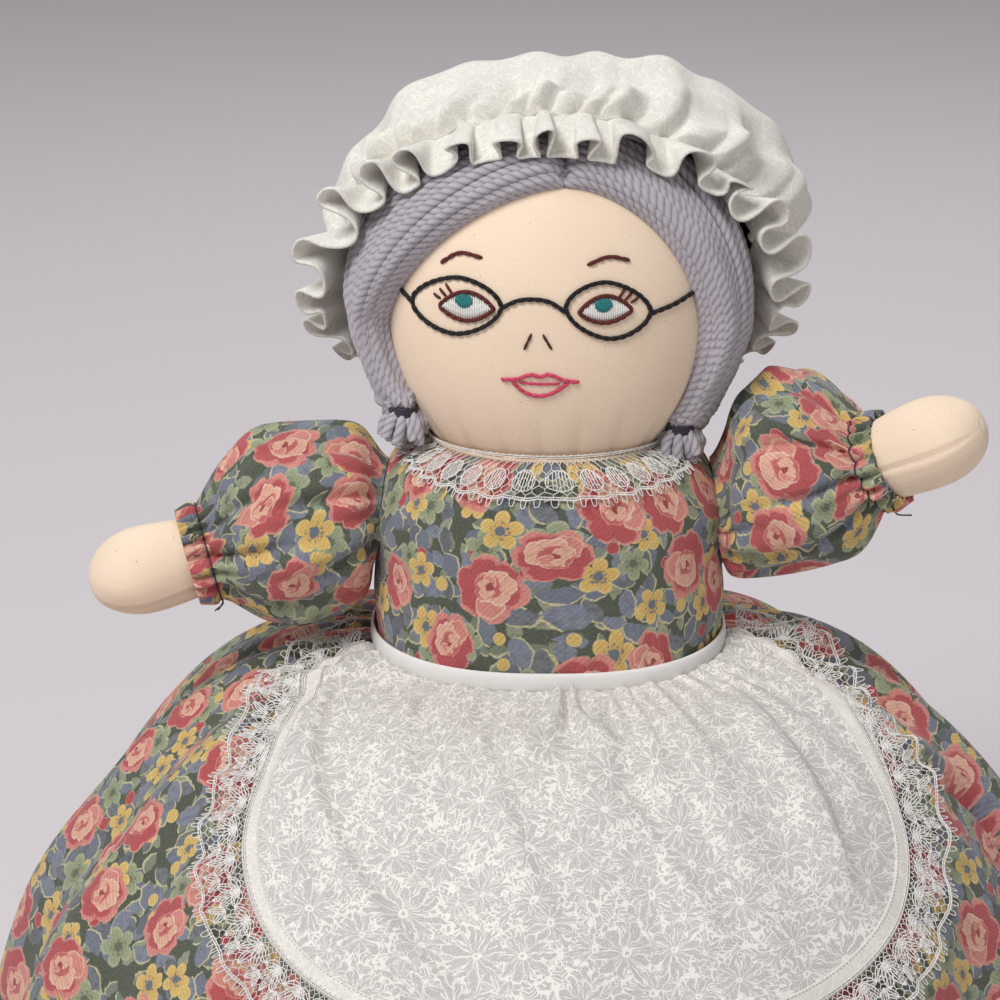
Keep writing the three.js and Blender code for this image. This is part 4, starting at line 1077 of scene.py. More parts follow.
def make_cap():
    angle, rows = circle(480), 84
    bulge = np.array([(1, 0), (1 + CAP_PUFF * 0.85, 0.12), (1 + CAP_PUFF, 0.42), (1 + CAP_PUFF * 0.4, 0.74),
                      (0.72, 0.98), (0, 1.1)])
    profile = spline(bulge * [1, CAP_DEPTH], rows)[:-1]
    a, radius = np.meshgrid(angle, profile[:, 0])
    v = np.linspace(0, 1, rows)[:-1, None] + 0 * a
    swell = smooth(v * 2)
    pressed = mix(1, CAP_TOP, swell * np.maximum(0, np.sin(a)) ** 2)
    phase = ruffle_phase(a) + 0.8 * np.sin(9 * v)
    gather = bell(v / 0.24) * 3.2 * (2 * np.abs(np.cos(0.75 * phase)) - 1)
    gather = gather + bell(v / 0.4) * 2.8 * np.cos(0.5 * phase + 1 + 5 * v)
    gather = gather * smooth(v / 0.06)
    crumple = 2.6 * np.sin(5 * a + 7 * v + 1) * np.sin(3 * a - 9 * v) + 1.8 * np.sin(9 * a - 6 * v + 2)
    crumple = crumple + 2.4 * np.sin(13 * a + 8 * v + 4) * np.sin(6 * a - 14 * v)
    crumple = crumple * smooth(v * 4) * (1 - smooth((v - 0.3) / 0.4))
    puckers = np.sin(6 * a + 9 * v) * np.sin(4 * a - 11 * v + 1) * (1 - v)
    behind = profile[:, 1:] + 1.7 * smooth((v - 0.5) / 0.2) * puckers
    behind = behind + 1.5 * smooth((v - 0.45) / 0.2) * (1 - smooth((v - 0.7) / 0.3)) * np.sin(17 * a + 3 * v)
    ring = mix(cap_ring(a), hair_reach(angle, 0)[None, :] + 3.0, smooth(v / 0.12))
    fuller = 5.0 * smooth(v / 0.2) * (1 - smooth((v - 0.55) / 0.3)) * bell((a - 2.45) / 0.4)
    distance = pressed * radius * ring + (gather + crumple) * np.minimum(1, radius) + fuller
    points = cap_point(a, distance, behind + 0.4 * crumple, 1 - smooth(v), CAP_SWAY * swell)
    uv = stack(a * 78, travel(points))
    crown = grid_piece("cap_crown", placed(points, "upper"), CAP_CLOTH, uv, 0.8, closed=True, crown=True)
    done(crown, "root", "white_cotton", "mob_cap")

    a, v = np.meshgrid(circle(1200), np.linspace(0, 1, 18))
    brow, nape = np.maximum(0, np.sin(a)) ** 2, np.maximum(0, -np.sin(a)) ** 2
    outward = 0.6 - 0.7 * brow + 0.35 * nape
    forward = np.sqrt(1 - outward ** 2)
    phase = ruffle_phase(a)
    deep = RUFFLE_DEEP * v ** 1.15 * (0.82 + 0.2 * np.sin(5 * a + 1) + 0.22 * np.sin(17 * a))
    wave = deep * np.cos(phase) + 0.9 * v * np.cos(1.7 * phase + 1.2) + 2.2 * v
    ring = cap_ring(a)
    lean = a + RUFFLE_LOOP / ring * np.sin(2 * phase + 0.4 * np.sin(7 * a)) * v ** 0.8
    width = CAP_FRILL * (1.08 + 0.07 * np.sin(4 * a + 2))
    behind = 1.0 - v * (width + 1) * forward + wave * outward
    distance = np.maximum(ring + v * width * outward + wave * forward, hair_reach(lean, behind) + 3.1)
    points = cap_point(lean, distance, behind)
    uv = stack(a * 150, v * CAP_FRILL)
    frill = grid_piece("cap_frill", placed(points, "upper"), CAP_CLOTH, uv, 0.9, closed=True,
                       outward=placed(CAP_CENTRE, "upper"))
    done(frill, "root", "white_cotton", "mob_cap_frill")

    a, b = np.meshgrid(circle(200), np.linspace(-2.5, 2.5, 5))
    points = placed(cap_point(a, hair_reach(a, b) + 0.8, b), "upper")
    elastic = grid_piece("cap_elastic", points, BAND_CLOTH, stack(a * 60, b), 0.7, closed=True)
    done(elastic, "root", "elastic", "mob_cap_elastic")


# Bodice and lace collar

WAIST_DIP = 5.0
COLLAR_DROP = 11.5
COLLAR_SIDE_DROP = 3.5
COLLAR_STAND = 1.8
COLLAR_LENGTH = 300.0
COLLAR_WIDTH = 14.0
COLLAR_REPEAT = 8.6
COLLAR_WAVES = 34
NET_THREAD = 0.14
FILL_THREAD = 0.18
MOTIF_THREAD = 0.2
BORDER_THREAD = 0.22
EDGE_THREAD = 0.3
CLOTH = 0.7


def waist_dip(angle):
    """The waist seam sags a little at the front."""
    return WAIST_DIP * np.maximum(0, -np.sin(angle)) ** 1.5


def make_bodice(doll):
    material, slot = DRESS[doll]

    def hole(centres):
        rise = (centres[:, 2] - WAIST) * DOLLS[doll] - SHOULDER
        return (np.hypot(centres[:, 1], rise) < ARMHOLE) & (np.abs(centres[:, 0]) > 40)

    for word, start in HALVES.items():
        u, h = np.meshgrid(np.linspace(0, 1, 121), np.linspace(0.2, NECK - 0.4, 70))
        a = start + mix(0.003, math.pi - 0.003, u)
        ripple = 0.5 * bell(h / 16) * np.cos(34 * a + 2 * np.sin(5 * a))
        ripple = ripple + 0.45 * np.sin(5 * a + h / 9) * np.sin(h / 13 + 1)
        under_arm = bell((np.abs(np.cos(a)) - 0.9) / 0.14) * np.sin(h / 4.2 + 3 * np.cos(a)) * 0.6
        grow = (ripple + under_arm) * smooth(h / 8) * smooth((NECK - h) / 8)
        points = body_point(BODICE, h, a, grow)
        points[..., 2] -= DOLLS[doll] * waist_dip(a) * (1 - smooth(h / 30))
        half = grid_piece(f"{doll}_bodice_cloth_{word}", placed(points, doll), material, stack(u * 175 + 40, h),
                          CLOTH, hole=hole, outward=placed([0, 0, SHOULDER], doll))
        done(half, "root", slot, f"{doll}_bodice_{word}")


class Lace:
    """Machine lace drawn flat: threads from (along, down) to (along, down), with their thickness."""

    def __init__(self, length, width, repeat):
        self.length, self.width = length, width
        self.repeats = int(round(length / repeat))
        self.repeat = length / self.repeats
        self.start, self.end, self.radius = [], [], []
        self.net()
        for i in range(self.repeats):
            self.motif((i + 0.5) * self.repeat)
        self.borders()

    def line(self, points, radius):
        p = np.asarray(points, float)
        self.start.append(p[:-1])
        self.end.append(p[1:])
        self.radius.append(np.full(len(p) - 1, radius))

    def edge(self, along):
        """Distance to the scalloped edge."""
        return self.width - 1.8 - 0.8 * (1 - np.abs(np.sin(math.pi * along / self.repeat)))

    def net(self):
        """Six-sided meshes: zigzag rows and short links between them."""
        half, row = 1.35, 2.0
        columns = int(self.length / half)
        rows = int(self.width / row) + 1
        k, j = np.meshgrid(np.arange(columns), np.arange(rows))
        sign = np.where((k + j) % 2 == 0, 1, -1)
        along, down = k * half, j * row + 0.27 * row * sign
        here = stack(along, down)
        beside = stack(along + half, down - 0.54 * row * sign)
        below = stack(along, (j + 1) * row - 0.27 * row)
        links = sign > 0
        start = np.concatenate([here.reshape(-1, 2), here[links]])
        end = np.concatenate([beside.reshape(-1, 2), below[links]])
        inside = (end[:, 1] < self.edge(end[:, 0])) & (start[:, 1] > 0)
        self.start.append(start[inside])
        self.end.append(end[inside])
        self.radius.append(np.full(inside.sum(), NET_THREAD))

    def motif(self, middle):
        """On narrow lace an oval. On wide lace a spray of five petals that opens toward the edge, and two
        leaves."""
        if self.width < 16:
            self.satin_oval(middle, 0.47 * self.width, 0.36 * self.repeat, 0.21 * self.width)
            return
        scale = self.width / 18.5
        for angle, length in ((-68, 7.0), (-34, 8.6), (0, 9.4), (34, 8.6), (68, 7.0)):
            self.petal((middle, 3.4 * scale), math.radians(angle), length * scale, 1.75 * scale)
        beside = middle + 0.5 * self.repeat
        for angle in (-24, 24):
            self.petal((beside, 9.0 * scale), math.radians(angle), 5.4 * scale, 1.2 * scale)

    def satin_oval(self, middle, down, half_width, half_height):
        """An outline filled with close upright threads."""
        turn = np.linspace(0, TURN, 19)
        outline = [half_width, half_height] * stack(np.cos(turn), np.sin(turn))
        self.line(outline + [middle, down], MOTIF_THREAD)
        for step in np.linspace(-0.8, 0.8, 7):
            reach = half_height * math.sqrt(1 - step ** 2)
            along = middle + step * half_width
            self.line([(along, down - reach), (along, down + reach)], FILL_THREAD)

    def petal(self, root, angle, length, half_width):
        """A leaf shape filled with threads that run from its root to its tip."""
        t = np.linspace(0, 1, 9)
        wide = half_width * np.sin(math.pi * t) ** 0.7
        for share in (-1.0, -0.33, 0.33, 1.0):
            along = root[0] + math.sin(angle) * length * t + math.cos(angle) * wide * share
            down = root[1] + math.cos(angle) * length * t - math.sin(angle) * wide * share
            self.line(stack(along, down), MOTIF_THREAD)

    def borders(self):
        along = np.linspace(0, self.length, 14 * self.repeats + 1)
        for down in (0.0, 0.7):
            self.line(stack(along, down), BORDER_THREAD)
        edge = stack(along, self.edge(along))
        self.line(edge, EDGE_THREAD)
        self.line(edge - [0, 0.7], BORDER_THREAD)
        loops = int(self.length / 2.9)
        turn = np.linspace(0, math.pi, 8)
        for i in range(loops):
            middle = (i + 0.5) * self.length / loops
            half = 0.22 * self.length / loops
            at = middle - half * signed_power(np.cos(turn), 0.6)
            tip = self.edge(middle) + 2.6 * np.sin(turn)
            self.line(stack(at, tip), FILL_THREAD)

    def piece(self, name, surface):
        """surface maps (along, down) to points in the frame."""
        bundle = Bundle()
        start, end = (surface(*np.vstack(part).T) for part in (self.start, self.end))
        bundle.rods(start, end, np.concatenate(self.radius))
        return bundle.piece(name, LACE_THREAD)


def make_collar(doll):
    def surface(along, down):
        angle = along / COLLAR_LENGTH * TURN
        share = down / COLLAR_WIDTH
        drop = mix(COLLAR_SIDE_DROP, COLLAR_DROP, np.sin(angle) ** 2)
        height = NECK + COLLAR_STAND - share * (drop + COLLAR_STAND)
        ruffle = 1.6 - 0.6 * share + 1.1 * share * (1 + np.cos(COLLAR_WAVES * angle + np.sin(5 * angle)))
        return placed(body_point(BODICE, height, angle, ruffle), doll)

    collar = Lace(COLLAR_LENGTH, COLLAR_WIDTH, COLLAR_REPEAT).piece(f"{doll}_collar", surface)
    done(collar, "root", "net_lace", f"{doll}_collar_lace")


# Arms and sleeves

ARM_POSE = {("upper", "left"): (-14, 8), ("upper", "right"): (26, 24), ("lower", "left"): (55, 0),
            ("lower", "right"): (55, 0)}
PUFF = {"upper": 32.5, "lower": 22.0}
SLEEVE_RISE = {("upper", "left"): 1.0, ("upper", "right"): 8.0, ("lower", "left"): 0.0,
               ("lower", "right"): 0.0}
SLEEVE_ROOT = 17.5
SLEEVE_PLEATS = 20
WRIST_GATHER = 15.9
WRIST_ELASTIC = 13.2
ARM_SEAM = {"left": -36, "right": -6}


def arm_frame(doll, word):
    """Pivot and direction of an arm, in doll heights."""
    side = SIDES[word]
    raised, forward = (math.radians(v) for v in ARM_POSE[doll, word])
    level = math.cos(raised)
    direction = np.array([side * level * math.cos(forward), -level * math.sin(forward), math.sin(raised)])
    return np.array([side * PIVOT_X, 0, SHOULDER]), direction


def arm_radius(along):
    root = np.sqrt(np.maximum(0, ARM_ROOT ** 2 - np.minimum(along, 0) ** 2))
    upper = mix(ARM_ROOT, WRIST, smooth(along / WRIST_AT))
    lower = mix(WRIST, HAND, smooth((along - WRIST_AT) / (HAND_AT - WRIST_AT)))
    share = np.clip((along - HAND_AT) / (ARM_LENGTH - HAND_AT), 0, 1)
    end = HAND * np.sqrt(1 - share ** 2)
    return np.select([along < 0, along < WRIST_AT, along < HAND_AT], [root, upper, lower], end)


def make_arm(doll, word):
    pivot, direction = arm_frame(doll, word)
    body = f"{doll}_{word}_arm"
    across = unit(np.array([0, 0, 1.0]) - direction * direction[2])
    front = np.cross(across, direction) * -SIDES[word]

    def limb(along, radius, angle):
        ray = np.sin(angle)[..., None] * across + np.cos(angle)[..., None] * front
        return placed(pivot + direction * along[..., None] + ray * np.asarray(radius)[..., None], doll)

    end = HAND_AT + (ARM_LENGTH - HAND_AT) * np.sin(np.linspace(0, math.pi / 2 * 0.97, 20))
    along = np.concatenate([np.linspace(-9, HAND_AT, 60)[:-1], end])
    a, t = np.meshgrid(circle(72), along)
    seam = np.abs(angle_from(math.radians(ARM_SEAM[word]), a)) * 13
    ridge = -0.7 * bell(seam / 0.8) + 0.35 * bell((seam - 1.6) / 0.9)
    pucker = 0.12 * np.cos(t * 1.9) * bell(seam / 3)
    bumps = 0.35 * np.sin(2 * a + t / 11) + 0.25 * np.sin(3 * a - t / 7 + 1)
    radius = arm_radius(t) + (ridge + pucker + bumps) * smooth((ARM_LENGTH - t) / 6)
    points = limb(t, radius, a)
    arm = grid_piece(f"{doll}_arm_{word}", points, MUSLIN, stack(a * 13, t), closed=True, caps=True)
    done(arm, body, "muslin", f"{doll}_arm_skin_{word}", f"{doll}_arm_filling_{word}")

    a, b = np.meshgrid(circle(48), np.linspace(-2, 2, 5))
    points = limb(WRIST_AT + b, WRIST_ELASTIC, a)
    elastic = grid_piece(f"{doll}_elastic_{word}", points, BAND_CLOTH, stack(a * 13, b), 0.6, closed=True)
    done(elastic, body, "elastic", f"{doll}_wrist_elastic_{word}")


def make_sleeve(doll, word, seed):
    random = np.random.default_rng(seed)
    pivot, direction = arm_frame(doll, word)
    side = SIDES[word]
    material, slot = DRESS[doll]
    puff = PUFF[doll]
    reach = WRIST_AT + SLEEVE_FRILL
    wrist = WRIST_AT / reach
    swell = spline([(0, SLEEVE_ROOT), (0.16, puff * 0.84), (0.4, puff), (0.64, puff * 0.86),
                    (wrist - 0.03, WRIST_GATHER), (wrist + 0.03, WRIST_GATHER), (1, WRIST_GATHER - 0.9)], 90)
    a, share = np.meshgrid(circle(240), swell[:, 0])
    p = random.uniform(0, TURN, 6)
    pleats = SLEEVE_PLEATS * a + 1.5 * np.sin(3 * a + p[0]) + 0.8 * np.sin(5 * a + p[1])
    pleated = 2 * np.abs(np.cos(0.5 * pleats)) - 1.2
    gather = 1.9 * bell(share / 0.2) + 1.5 * bell((share - wrist) / 0.13)
    gather = gather * smooth(share / 0.03) * pleated
    soft = np.sin(math.pi * np.clip(share / wrist, 0, 1)) ** 0.7
    folds = 1.3 * np.sin(6 * a + 5 * share + p[2]) * np.sin(4 * share + p[3])
    folds = folds + 1.1 * np.sin(9 * a - 7 * share + p[4]) * np.sin(9 * share + p[5])
    ends = smooth(share / 0.08) * smooth((wrist - share) / 0.08)
    creased = np.maximum(0, np.cos(7 * a + 1.3 * np.sin(2 * a + p[1]))) ** 4 * bell(share / 0.42)
    drawn_in = np.maximum(0, np.cos(8 * a + 1.2 * np.sin(2 * a + p[3]))) ** 4 * bell((share - wrist) / 0.4)
    folds = folds * soft - (4.6 * creased + 5.2 * drawn_in) * ends
    frill = smooth((share - wrist) / 0.06) * 0.5 * np.cos(pleats)
    radius = swell[:, 1:] + gather + folds * puff / 31 + frill
    normal = unit(mix(np.array([side, 0.0, 0.0]), direction, smooth(share / 0.5)[..., None]))
    seam = np.array([side * (float(bodice_side(0.0, SHOULDER)) + 0.3), 0, SHOULDER])
    centre = mix(seam, pivot + direction * (share * reach)[..., None], smooth(share / 0.4)[..., None])
    centre[..., 2] += SLEEVE_RISE[doll, word] * soft
    across = unit(np.array([0, 1.0, 0]) - normal * normal[..., 1:2])
    upward = np.cross(normal, across) * side
    points = centre + across * (radius * np.cos(a))[..., None] + upward * (radius * np.sin(a))[..., None]
    y, h = SLEEVE_ROOT * np.cos(a), SHOULDER + SLEEVE_ROOT * np.sin(a)
    on_side = stack(side * (bodice_side(y, h) + 0.4), y, h)
    points = mix(on_side, points, smooth(share / 0.1)[..., None])
    uv = stack(a * 30 + 90 * side, travel(points))
    sleeve = grid_piece(f"{doll}_sleeve_cloth_{word}", placed(points, doll), material, uv, CLOTH, closed=True,
                        outward=placed(pivot + direction * 25, doll))
    tuple(placed(seam, doll) * MM)
    tuple(placed(pivot + direction * WRIST_AT, doll) * MM)
    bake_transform(sleeve)
    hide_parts(f"{doll}_sleeve_{word}")

    # The gathering thread round the wrist, with its loose ends
    drawn = Bundle()
    row = int(np.argmin(np.abs(swell[:, 0] - wrist)))
    ring = np.concatenate([points[row], points[row, :1]])
    out = unit(ring - pivot - direction * WRIST_AT)
    drawn.tube(placed(ring + out * 0.2, doll), 0.3, out * [1, 1, DOLLS[doll]], 6)
    for turn in (-2.1, -1.7):
        first = int(len(ring) * (turn % TURN) / TURN)
        root, away = ring[first], out[first]
        tip = root + away * 4 + direction * 4 + random.uniform(-2, 2, 3)
        path = spline([root, root + away * 2.5, tip], 10)
        drawn.tube(placed(path, doll), 0.28, np.array([0.2, -1.0, 0.3]), 6)
    done(drawn.piece(f"{doll}_wrist_thread_{word}", THREAD["dark"]), f"{doll}_{word}_arm", "dark_thread")


# Skirt, lining and apron

FRONT = -math.pi / 2
APRON_TURN = TURN / 64
SKIRT_FOLDS = (16, 12)
SKIRT_PLEATS = 60
SKIRT_BULGE = 8.0
CLOTH_TURN = 150.0
SKIRT_BULGE_AT = math.radians(194)
FOLD_TOP = math.radians(-17)
FOLD_FOOT = math.radians(-6.5)
FOLD_RISE = 4.2
FOLD_GROOVE = 7.5
SLOPES = np.linspace(0, math.pi / 2, 400)
STEPS = np.hypot((HEM_RADIUS - SKIRT_WAIST[0]) * np.cos(SLOPES), WAIST * np.sin(SLOPES))
LENGTHS = np.concatenate([[0], np.cumsum((STEPS[1:] + STEPS[:-1]) / 2 * np.diff(SLOPES))])


def skirt_point(angle, slope, offset):
    """A place on the skirt in the frame. slope is 0 at the waist and a quarter turn at the floor."""
    from_front = np.abs(angle_from(FRONT + APRON_TURN, angle))
    under_apron = (1 - smooth((from_front - 0.9) / 0.35)) * (1 - smooth((slope - 0.85) / 0.3))
    run = np.sin(slope)
    gathered = smooth(slope / 0.3)
    many, few = (np.cos(count * angle) for count in SKIRT_FOLDS)
    fold = gathered * mix(1.2, 6.0, run) * (0.75 * many + 0.25 * few)
    fold = fold + gathered * run * 1.6 * np.sin(7 * angle + 1.3) * np.sin(2.2 * slope)
    fold = fold * (1 - 0.7 * under_apron)
    pleats = SKIRT_PLEATS * angle + 2.2 * np.sin(5 * angle) + 1.4 * np.sin(11 * angle + 1)
    fine = 1.1 * bell((slope - 0.1) / 0.22) * np.cos(pleats)
    under_arm = bell(angle_from(SKIRT_BULGE_AT, angle) / 0.5)
    fine = fine + 1.6 * (1 - under_arm) * bell((slope - 0.4) / 0.4) * np.cos(0.5 * pleats + 0.7)
    bulge = SKIRT_BULGE * under_arm * smooth((slope - 0.75) / 0.35)
    lap_at = mix(FOLD_TOP, FOLD_FOOT, smooth((slope - 0.36) / 0.5))
    past = angle_from(lap_at, angle) * mix(SKIRT_WAIST[0], HEM_RADIUS, run)
    lap = FOLD_RISE * smooth(past / 4 + 0.2) * np.exp(-np.maximum(0, past) / 13)
    lap = lap - FOLD_GROOVE * bell((past + 1.6) / 2.3)
    lap = lap * smooth((slope - 0.33) / 0.12) * (1 - smooth((slope - 0.82) / 0.3))
    seam = 0.9 * gathered * bell(np.sin(angle) / 0.012)
    lift = offset + fold + fine * (1 - 0.6 * under_apron) + bulge + lap - seam
    waist_x = SKIRT_WAIST[0] * signed_power(np.cos(angle), 2 / SQUARENESS)
    waist_y = SKIRT_WAIST[1] * signed_power(np.sin(angle), 2 / SQUARENESS)
    reach = (HEM_RADIUS - SKIRT_WAIST[0]) * run + lift * run
    x = mix(waist_x, SKIRT_WAIST[0] * np.cos(angle), run) + reach * np.cos(angle)
    y = mix(waist_y, SKIRT_WAIST[0] * np.sin(angle), run) + reach * np.sin(angle)
    level = 1 - smooth((slope - 1.2) / 0.28)
    z = (WAIST + lift * level) * np.cos(slope) - waist_dip(angle) * (1 - smooth(slope / 0.5))
    return stack(x, y, z)


def make_skirt():
    layers = {"skirt": ("skirt_outer", CALICO, "rose_calico", 0.65, 1.0, (400, 90)),
              "lining": ("skirt_lining", GINGHAM, "rose_gingham", -0.2, 0.8, (180, 60))}
    for name, (nodes, material, slot, offset, thickness, (cols, rows)) in layers.items():
        for word, start in HALVES.items():
            turn = start + np.linspace(0.0008, math.pi - 0.0008, cols)
            a, s = np.meshgrid(turn, np.linspace(0, HEM_SLOPE, rows))
            points = skirt_point(a, s, offset + thickness / 2)
            uv = stack(a * CLOTH_TURN, np.interp(s, SLOPES, LENGTHS))
            panel = grid_piece(f"{name}_{word}", points, material, uv, thickness, outward=(0, 0, 0))
            done(panel, "root", slot, f"{nodes}_{word}", lifts=True)

    top, middle, floor = HEM_SLOPE + 0.002, (HEM_SLOPE + math.pi / 2) / 2, math.pi / 2
    path = spline([(top, 1.2), (middle, 1.3), (floor - 0.006, 1.1), (floor - 0.001, 0.0), (floor - 0.006, -1.1),
                   (middle, -1.2), (top, -1.15)], 25)
    a, s = np.meshgrid(circle(540), path[:, 0])
    points = skirt_point(a, np.minimum(s, floor), path[:, 1:])
    uv = stack(a * CLOTH_TURN, LENGTHS[-1] - HEM_WIDTH + travel(points[:, 0])[:, None])
    hem = grid_piece("hem", points, CALICO, uv, 0.5, closed=True, outward=(0, 0, WAIST))
    done(hem, "skirt_hem", "rose_calico", "skirt_hem")


APRON_CORNER = math.radians(80)
APRON_ROUNDNESS = 2.6
APRON_HEM = 6.5
APRON_STANDS = {"cloth": 3.1, "hem": 3.32, "stitching": 3.4, "lace": 3.6}
LACE_GATHER = 1.3
LACE_REPEAT = 13.0
LACE_LAP = 1.5
APRON_PLEATS = 46
SIDE_SCALE = 90
PLEAT_AT = -0.05
APRON_CREASES = [((-1.0, 28), (-0.2, 122), 4.6), ((-0.3, 24), (-0.06, 96), 2.8), ((0.12, 55), (0.3, 105), 2.4),
                 ((0.75, 24), (0.62, 96), 3.0), ((-0.62, 16), (-0.42, 58), 2.0)]


def apron_rim(turn):
    """Angle from the front and length down from the waist, round the apron's lower edge."""
    corner = turn * APRON_CORNER
    length = APRON_LENGTH * np.cos(corner) ** (2 / APRON_ROUNDNESS)
    flare = np.maximum(0, 1 - length / APRON_FLARE) ** 2 * (APRON_WAIST_SPREAD - APRON_SPREAD)
    side = APRON_SPREAD * signed_power(np.sin(corner), 2 / APRON_ROUNDNESS) + flare * np.sign(turn)
    return side, length


def apron_place(turn, down):
    rim_side, rim_length = apron_rim(turn)
    return mix(turn * APRON_WAIST_SPREAD, rim_side, down ** 2), down * rim_length


def apron_surface(layer, side, length, flatter=0.0, wave=0.0):
    offset = APRON_STANDS[layer] + apron_ripple(side, length) * (1 - flatter) + wave
    return skirt_point(FRONT + APRON_TURN + side, np.interp(length, LENGTHS, SLOPES), offset)


def apron_ripple(side, length):
    """Gathers under the band, a pleat that is sewn down and opens below, and soft folds lower down."""
    pleats = APRON_PLEATS * side + 1.6 * np.sin(4 * side) + 1.1 * np.sin(9 * side + 1)
    gathers = 0.8 * np.exp(-length / 11) * (2 * np.abs(np.cos(0.5 * pleats)))
    gathers = gathers + 0.55 * np.exp(-length / 40) * (1 + np.cos(0.3 * pleats + 1))
    gathers = gathers * smooth(length / 3.5)
    folds = 0.7 * smooth(length / 40) * (1 + np.cos(11 * side + 0.8 * np.sin(length / 30) + 0.5))
    away = (side - PLEAT_AT) * 62
    wide = mix(0.8, 3.6, smooth((length - 15) / 20))
    open_below = smooth(length / 3) * (1 - smooth((length - 32) / 14))
    pleat = 2.2 * bell((np.abs(away) - 2.0 * wide) / (1.1 * wide)) - 2.8 * bell(away / wide)
    total = gathers + folds + pleat * open_below
    for (start_side, start_length), (end_side, end_length), rise in APRON_CREASES:
        run, fall = (end_side - start_side) * SIDE_SCALE, end_length - start_length
        reach = math.hypot(run, fall)
        dx, dy = (side - start_side) * SIDE_SCALE, length - start_length
        along = (dx * run + dy * fall) / reach ** 2
        across = (dy * run - dx * fall) / reach
        faded = smooth(along / 0.25 + 0.5) * smooth((1 - along) / 0.25 + 0.5)
        total = total + rise * faded * bell((across - 3.5) / np.where(across < 3.5, 2.8, 9.0))
    return total


def make_apron():
    turn, down = np.meshgrid(np.linspace(-1, 1, 301), np.linspace(0, 1, 120))
    side, length = apron_place(turn, down)
    points = apron_surface("cloth", side, length)
    uv = stack(np.sin(side) * 125, length)
    panel = grid_piece("apron_cloth", points, APRON_CLOTH, uv, CLOTH, outward=(0, 0, 0))
    done(panel, "root", "white_cotton", "apron_panel", lifts=True)

    # The edge runs down one side, round below and up the other side
    down = np.linspace(0.12, 1, 40)
    parts = apron_place(-1.0, down), apron_rim(np.linspace(-1, 1, 400)[1:-1]), apron_place(1.0, down[::-1])
    edge_side, edge_length = np.concatenate(parts, axis=1)
    radius = SKIRT_WAIST[0] + (HEM_RADIUS - SKIRT_WAIST[0]) * np.sin(np.interp(edge_length, LENGTHS, SLOPES))
    flat = stack(np.gradient(edge_side) * radius, np.gradient(edge_length))
    size = np.hypot(flat[:, 0], flat[:, 1])
    travelled = np.concatenate([[0], np.cumsum((size[1:] + size[:-1]) / 2)])
    flat = flat / size[:, None]

    def along_edge(at, inside):
        """A place on the apron from the distance along its edge and the distance in from it."""
        ring = np.interp(at, travelled, radius)
        over, onward = np.interp(at, travelled, flat[:, 0]), np.interp(at, travelled, flat[:, 1])
        side = np.interp(at, travelled, edge_side) + onward * inside / ring
        return side, np.maximum(1.0, np.interp(at, travelled, edge_length) - over * inside)

    lace = Lace(travelled[-1] * LACE_GATHER, APRON_LACE + LACE_LAP, LACE_REPEAT)

    def surface(along, down):
        at = along / LACE_GATHER
        side, length = along_edge(at, LACE_LAP - down)
        share = down / lace.width
        wave = 2.1 * share * (1 + np.cos(TURN * at / 15 + 1.4 * np.sin(at / 17))) + 1.2 * share
        return apron_surface("lace", side, length, 0.5 * share, wave)

    edging = lace.piece("apron_edging", surface)
    done(edging, "root", "net_lace", "apron_lace", lifts=True)

    at, inside = np.meshgrid(np.linspace(0, travelled[-1], 420), np.linspace(0.2, APRON_HEM, 7))
    points = apron_surface("hem", *along_edge(at, inside))
    hem = grid_piece("apron_hem", points, HEM_CLOTH, stack(at, inside), 0.2, outward=(0, 0, 0))
    done(hem, "root", "white_cotton", lifts=True)
    size = travelled[-1] * MM

    seam = Bundle()
    line = apron_surface("stitching", *along_edge(np.linspace(0, travelled[-1], 330), APRON_HEM - 0.6))
    up = unit(line - [0, 0, 60])
    seam.stitches(line[:-1], mix(line[:-1], line[1:], 0.75), up[:-1], 0.2)
    done(seam.piece("apron_stitching", THREAD["white"]), "root", "white_cotton", lifts=True)

    a, v = np.meshgrid(circle(240), np.linspace(0, 1, 11))
    height = 2.6 + 6.6 * v
    grow = 0.7 + 0.9 * np.sin(math.pi * v) ** 0.5
    points = body_point(BODICE, height, a, grow)
    points[..., 2] -= waist_dip(a)
    uv = stack(a * 52, height)
    tape = grid_piece("waistband", placed(points, "upper"), BAND_CLOTH, uv, 0.5, closed=True,
                      outward=placed([0, 0, 5.0], "upper"))
    done(tape, "root", "white_cotton", "apron_waistband")


# Stage, camera and light

PHOTO_SCALE = 0.33
PHOTO_AXIS = (548, 642)
CAMERA_LIFT = math.radians(18.5)
CAMERA_DISTANCE = 1300.0
IMAGE = 1000
FLOOR = 4000.0


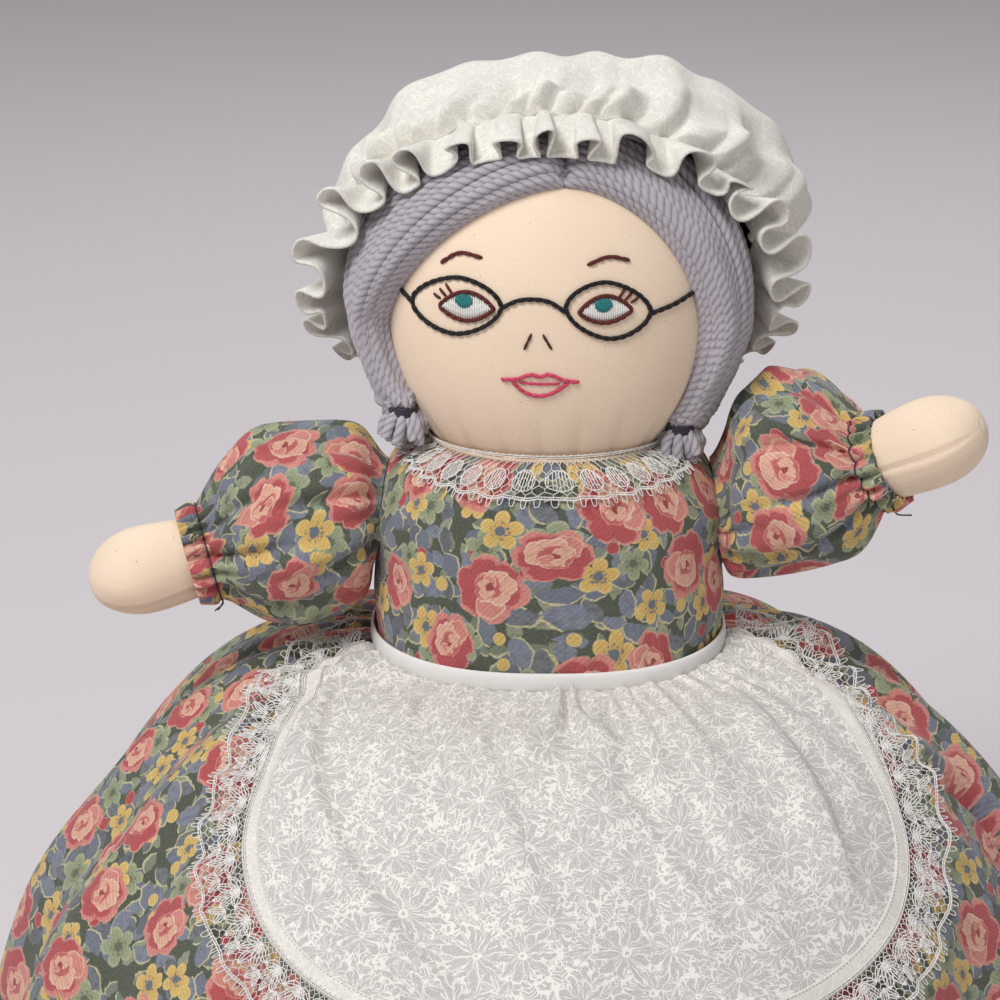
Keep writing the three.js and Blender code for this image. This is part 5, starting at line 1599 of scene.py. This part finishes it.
def make_stage():
    material = bpy.data.materials.new("floor")
    material.use_nodes = True
    shader = material.node_tree.nodes["Principled BSDF"]
    shader.inputs["Base Color"].default_value = paint(216, 210, 212)
    shader.inputs["Roughness"].default_value = 0.95
    corners = np.array([[-1, -1, 0], [1, -1, 0], [1, 1, 0], [-1, 1, 0]]) * FLOOR
    new_mesh("floor", corners, np.array([[0, 1, 2, 3]]), material)

    world = bpy.data.worlds.new("studio")
    bpy.context.scene.world = world
    world.use_nodes = True
    world.node_tree.nodes["Background"].inputs["Color"].default_value = (0.95, 0.95, 1.0, 1)
    world.node_tree.nodes["Background"].inputs["Strength"].default_value = 0.3

    lamps = {
        "key": ((-0.75, -1.0, 1.75), 0.8, 31.0),
        "fill": ((1.3, -0.9, 0.8), 1.2, 3.0),
        "back": ((0.2, 1.2, 1.4), 1.0, 8.0),
    }
    target = Vector((0, 0, WAIST * MM))
    for name, (place, size, power) in lamps.items():
        lamp = bpy.data.lights.new(name, "AREA")
        lamp.size = size
        lamp.energy = power
        holder = bpy.data.objects.new(name, lamp)
        holder.location = place
        holder.rotation_euler = (target - holder.location).to_track_quat("-Z", "Y").to_euler()
        bpy.context.scene.collection.objects.link(holder)


def make_camera():
    up = Vector((0, math.sin(CAMERA_LIFT), math.cos(CAMERA_LIFT)))
    away = Vector((0, -math.cos(CAMERA_LIFT), math.sin(CAMERA_LIFT)))
    middle = IMAGE / 2
    side = (middle - PHOTO_AXIS[0]) * PHOTO_SCALE
    target = Vector((side, 0, WAIST)) + up * ((PHOTO_AXIS[1] - middle) * PHOTO_SCALE)
    camera = bpy.data.cameras.new("camera")
    camera.sensor_width = 36
    camera.lens = camera.sensor_width * CAMERA_DISTANCE / (IMAGE * PHOTO_SCALE)
    camera.clip_end = 20
    holder = bpy.data.objects.new("camera", camera)
    holder.location = (target + away * CAMERA_DISTANCE) * MM
    holder.rotation_euler = (target * MM - holder.location).to_track_quat("-Z", "Y").to_euler()
    bpy.context.scene.collection.objects.link(holder)
    bpy.context.scene.camera = holder


make_stage()
make_camera()
bpy.context.scene.view_settings.view_transform = "Standard"
for seed, doll_name in enumerate(DOLLS):
    make_body(doll_name)
    make_hair(doll_name, seed)
    make_bodice(doll_name)
    make_collar(doll_name)
    for arm_seed, arm_word in enumerate(SIDES):
        make_arm(doll_name, arm_word)
        make_sleeve(doll_name, arm_word, 10 + 2 * seed + arm_seed)
make_granny_face()
make_girl_face()
make_cap()
make_skirt()
make_apron()
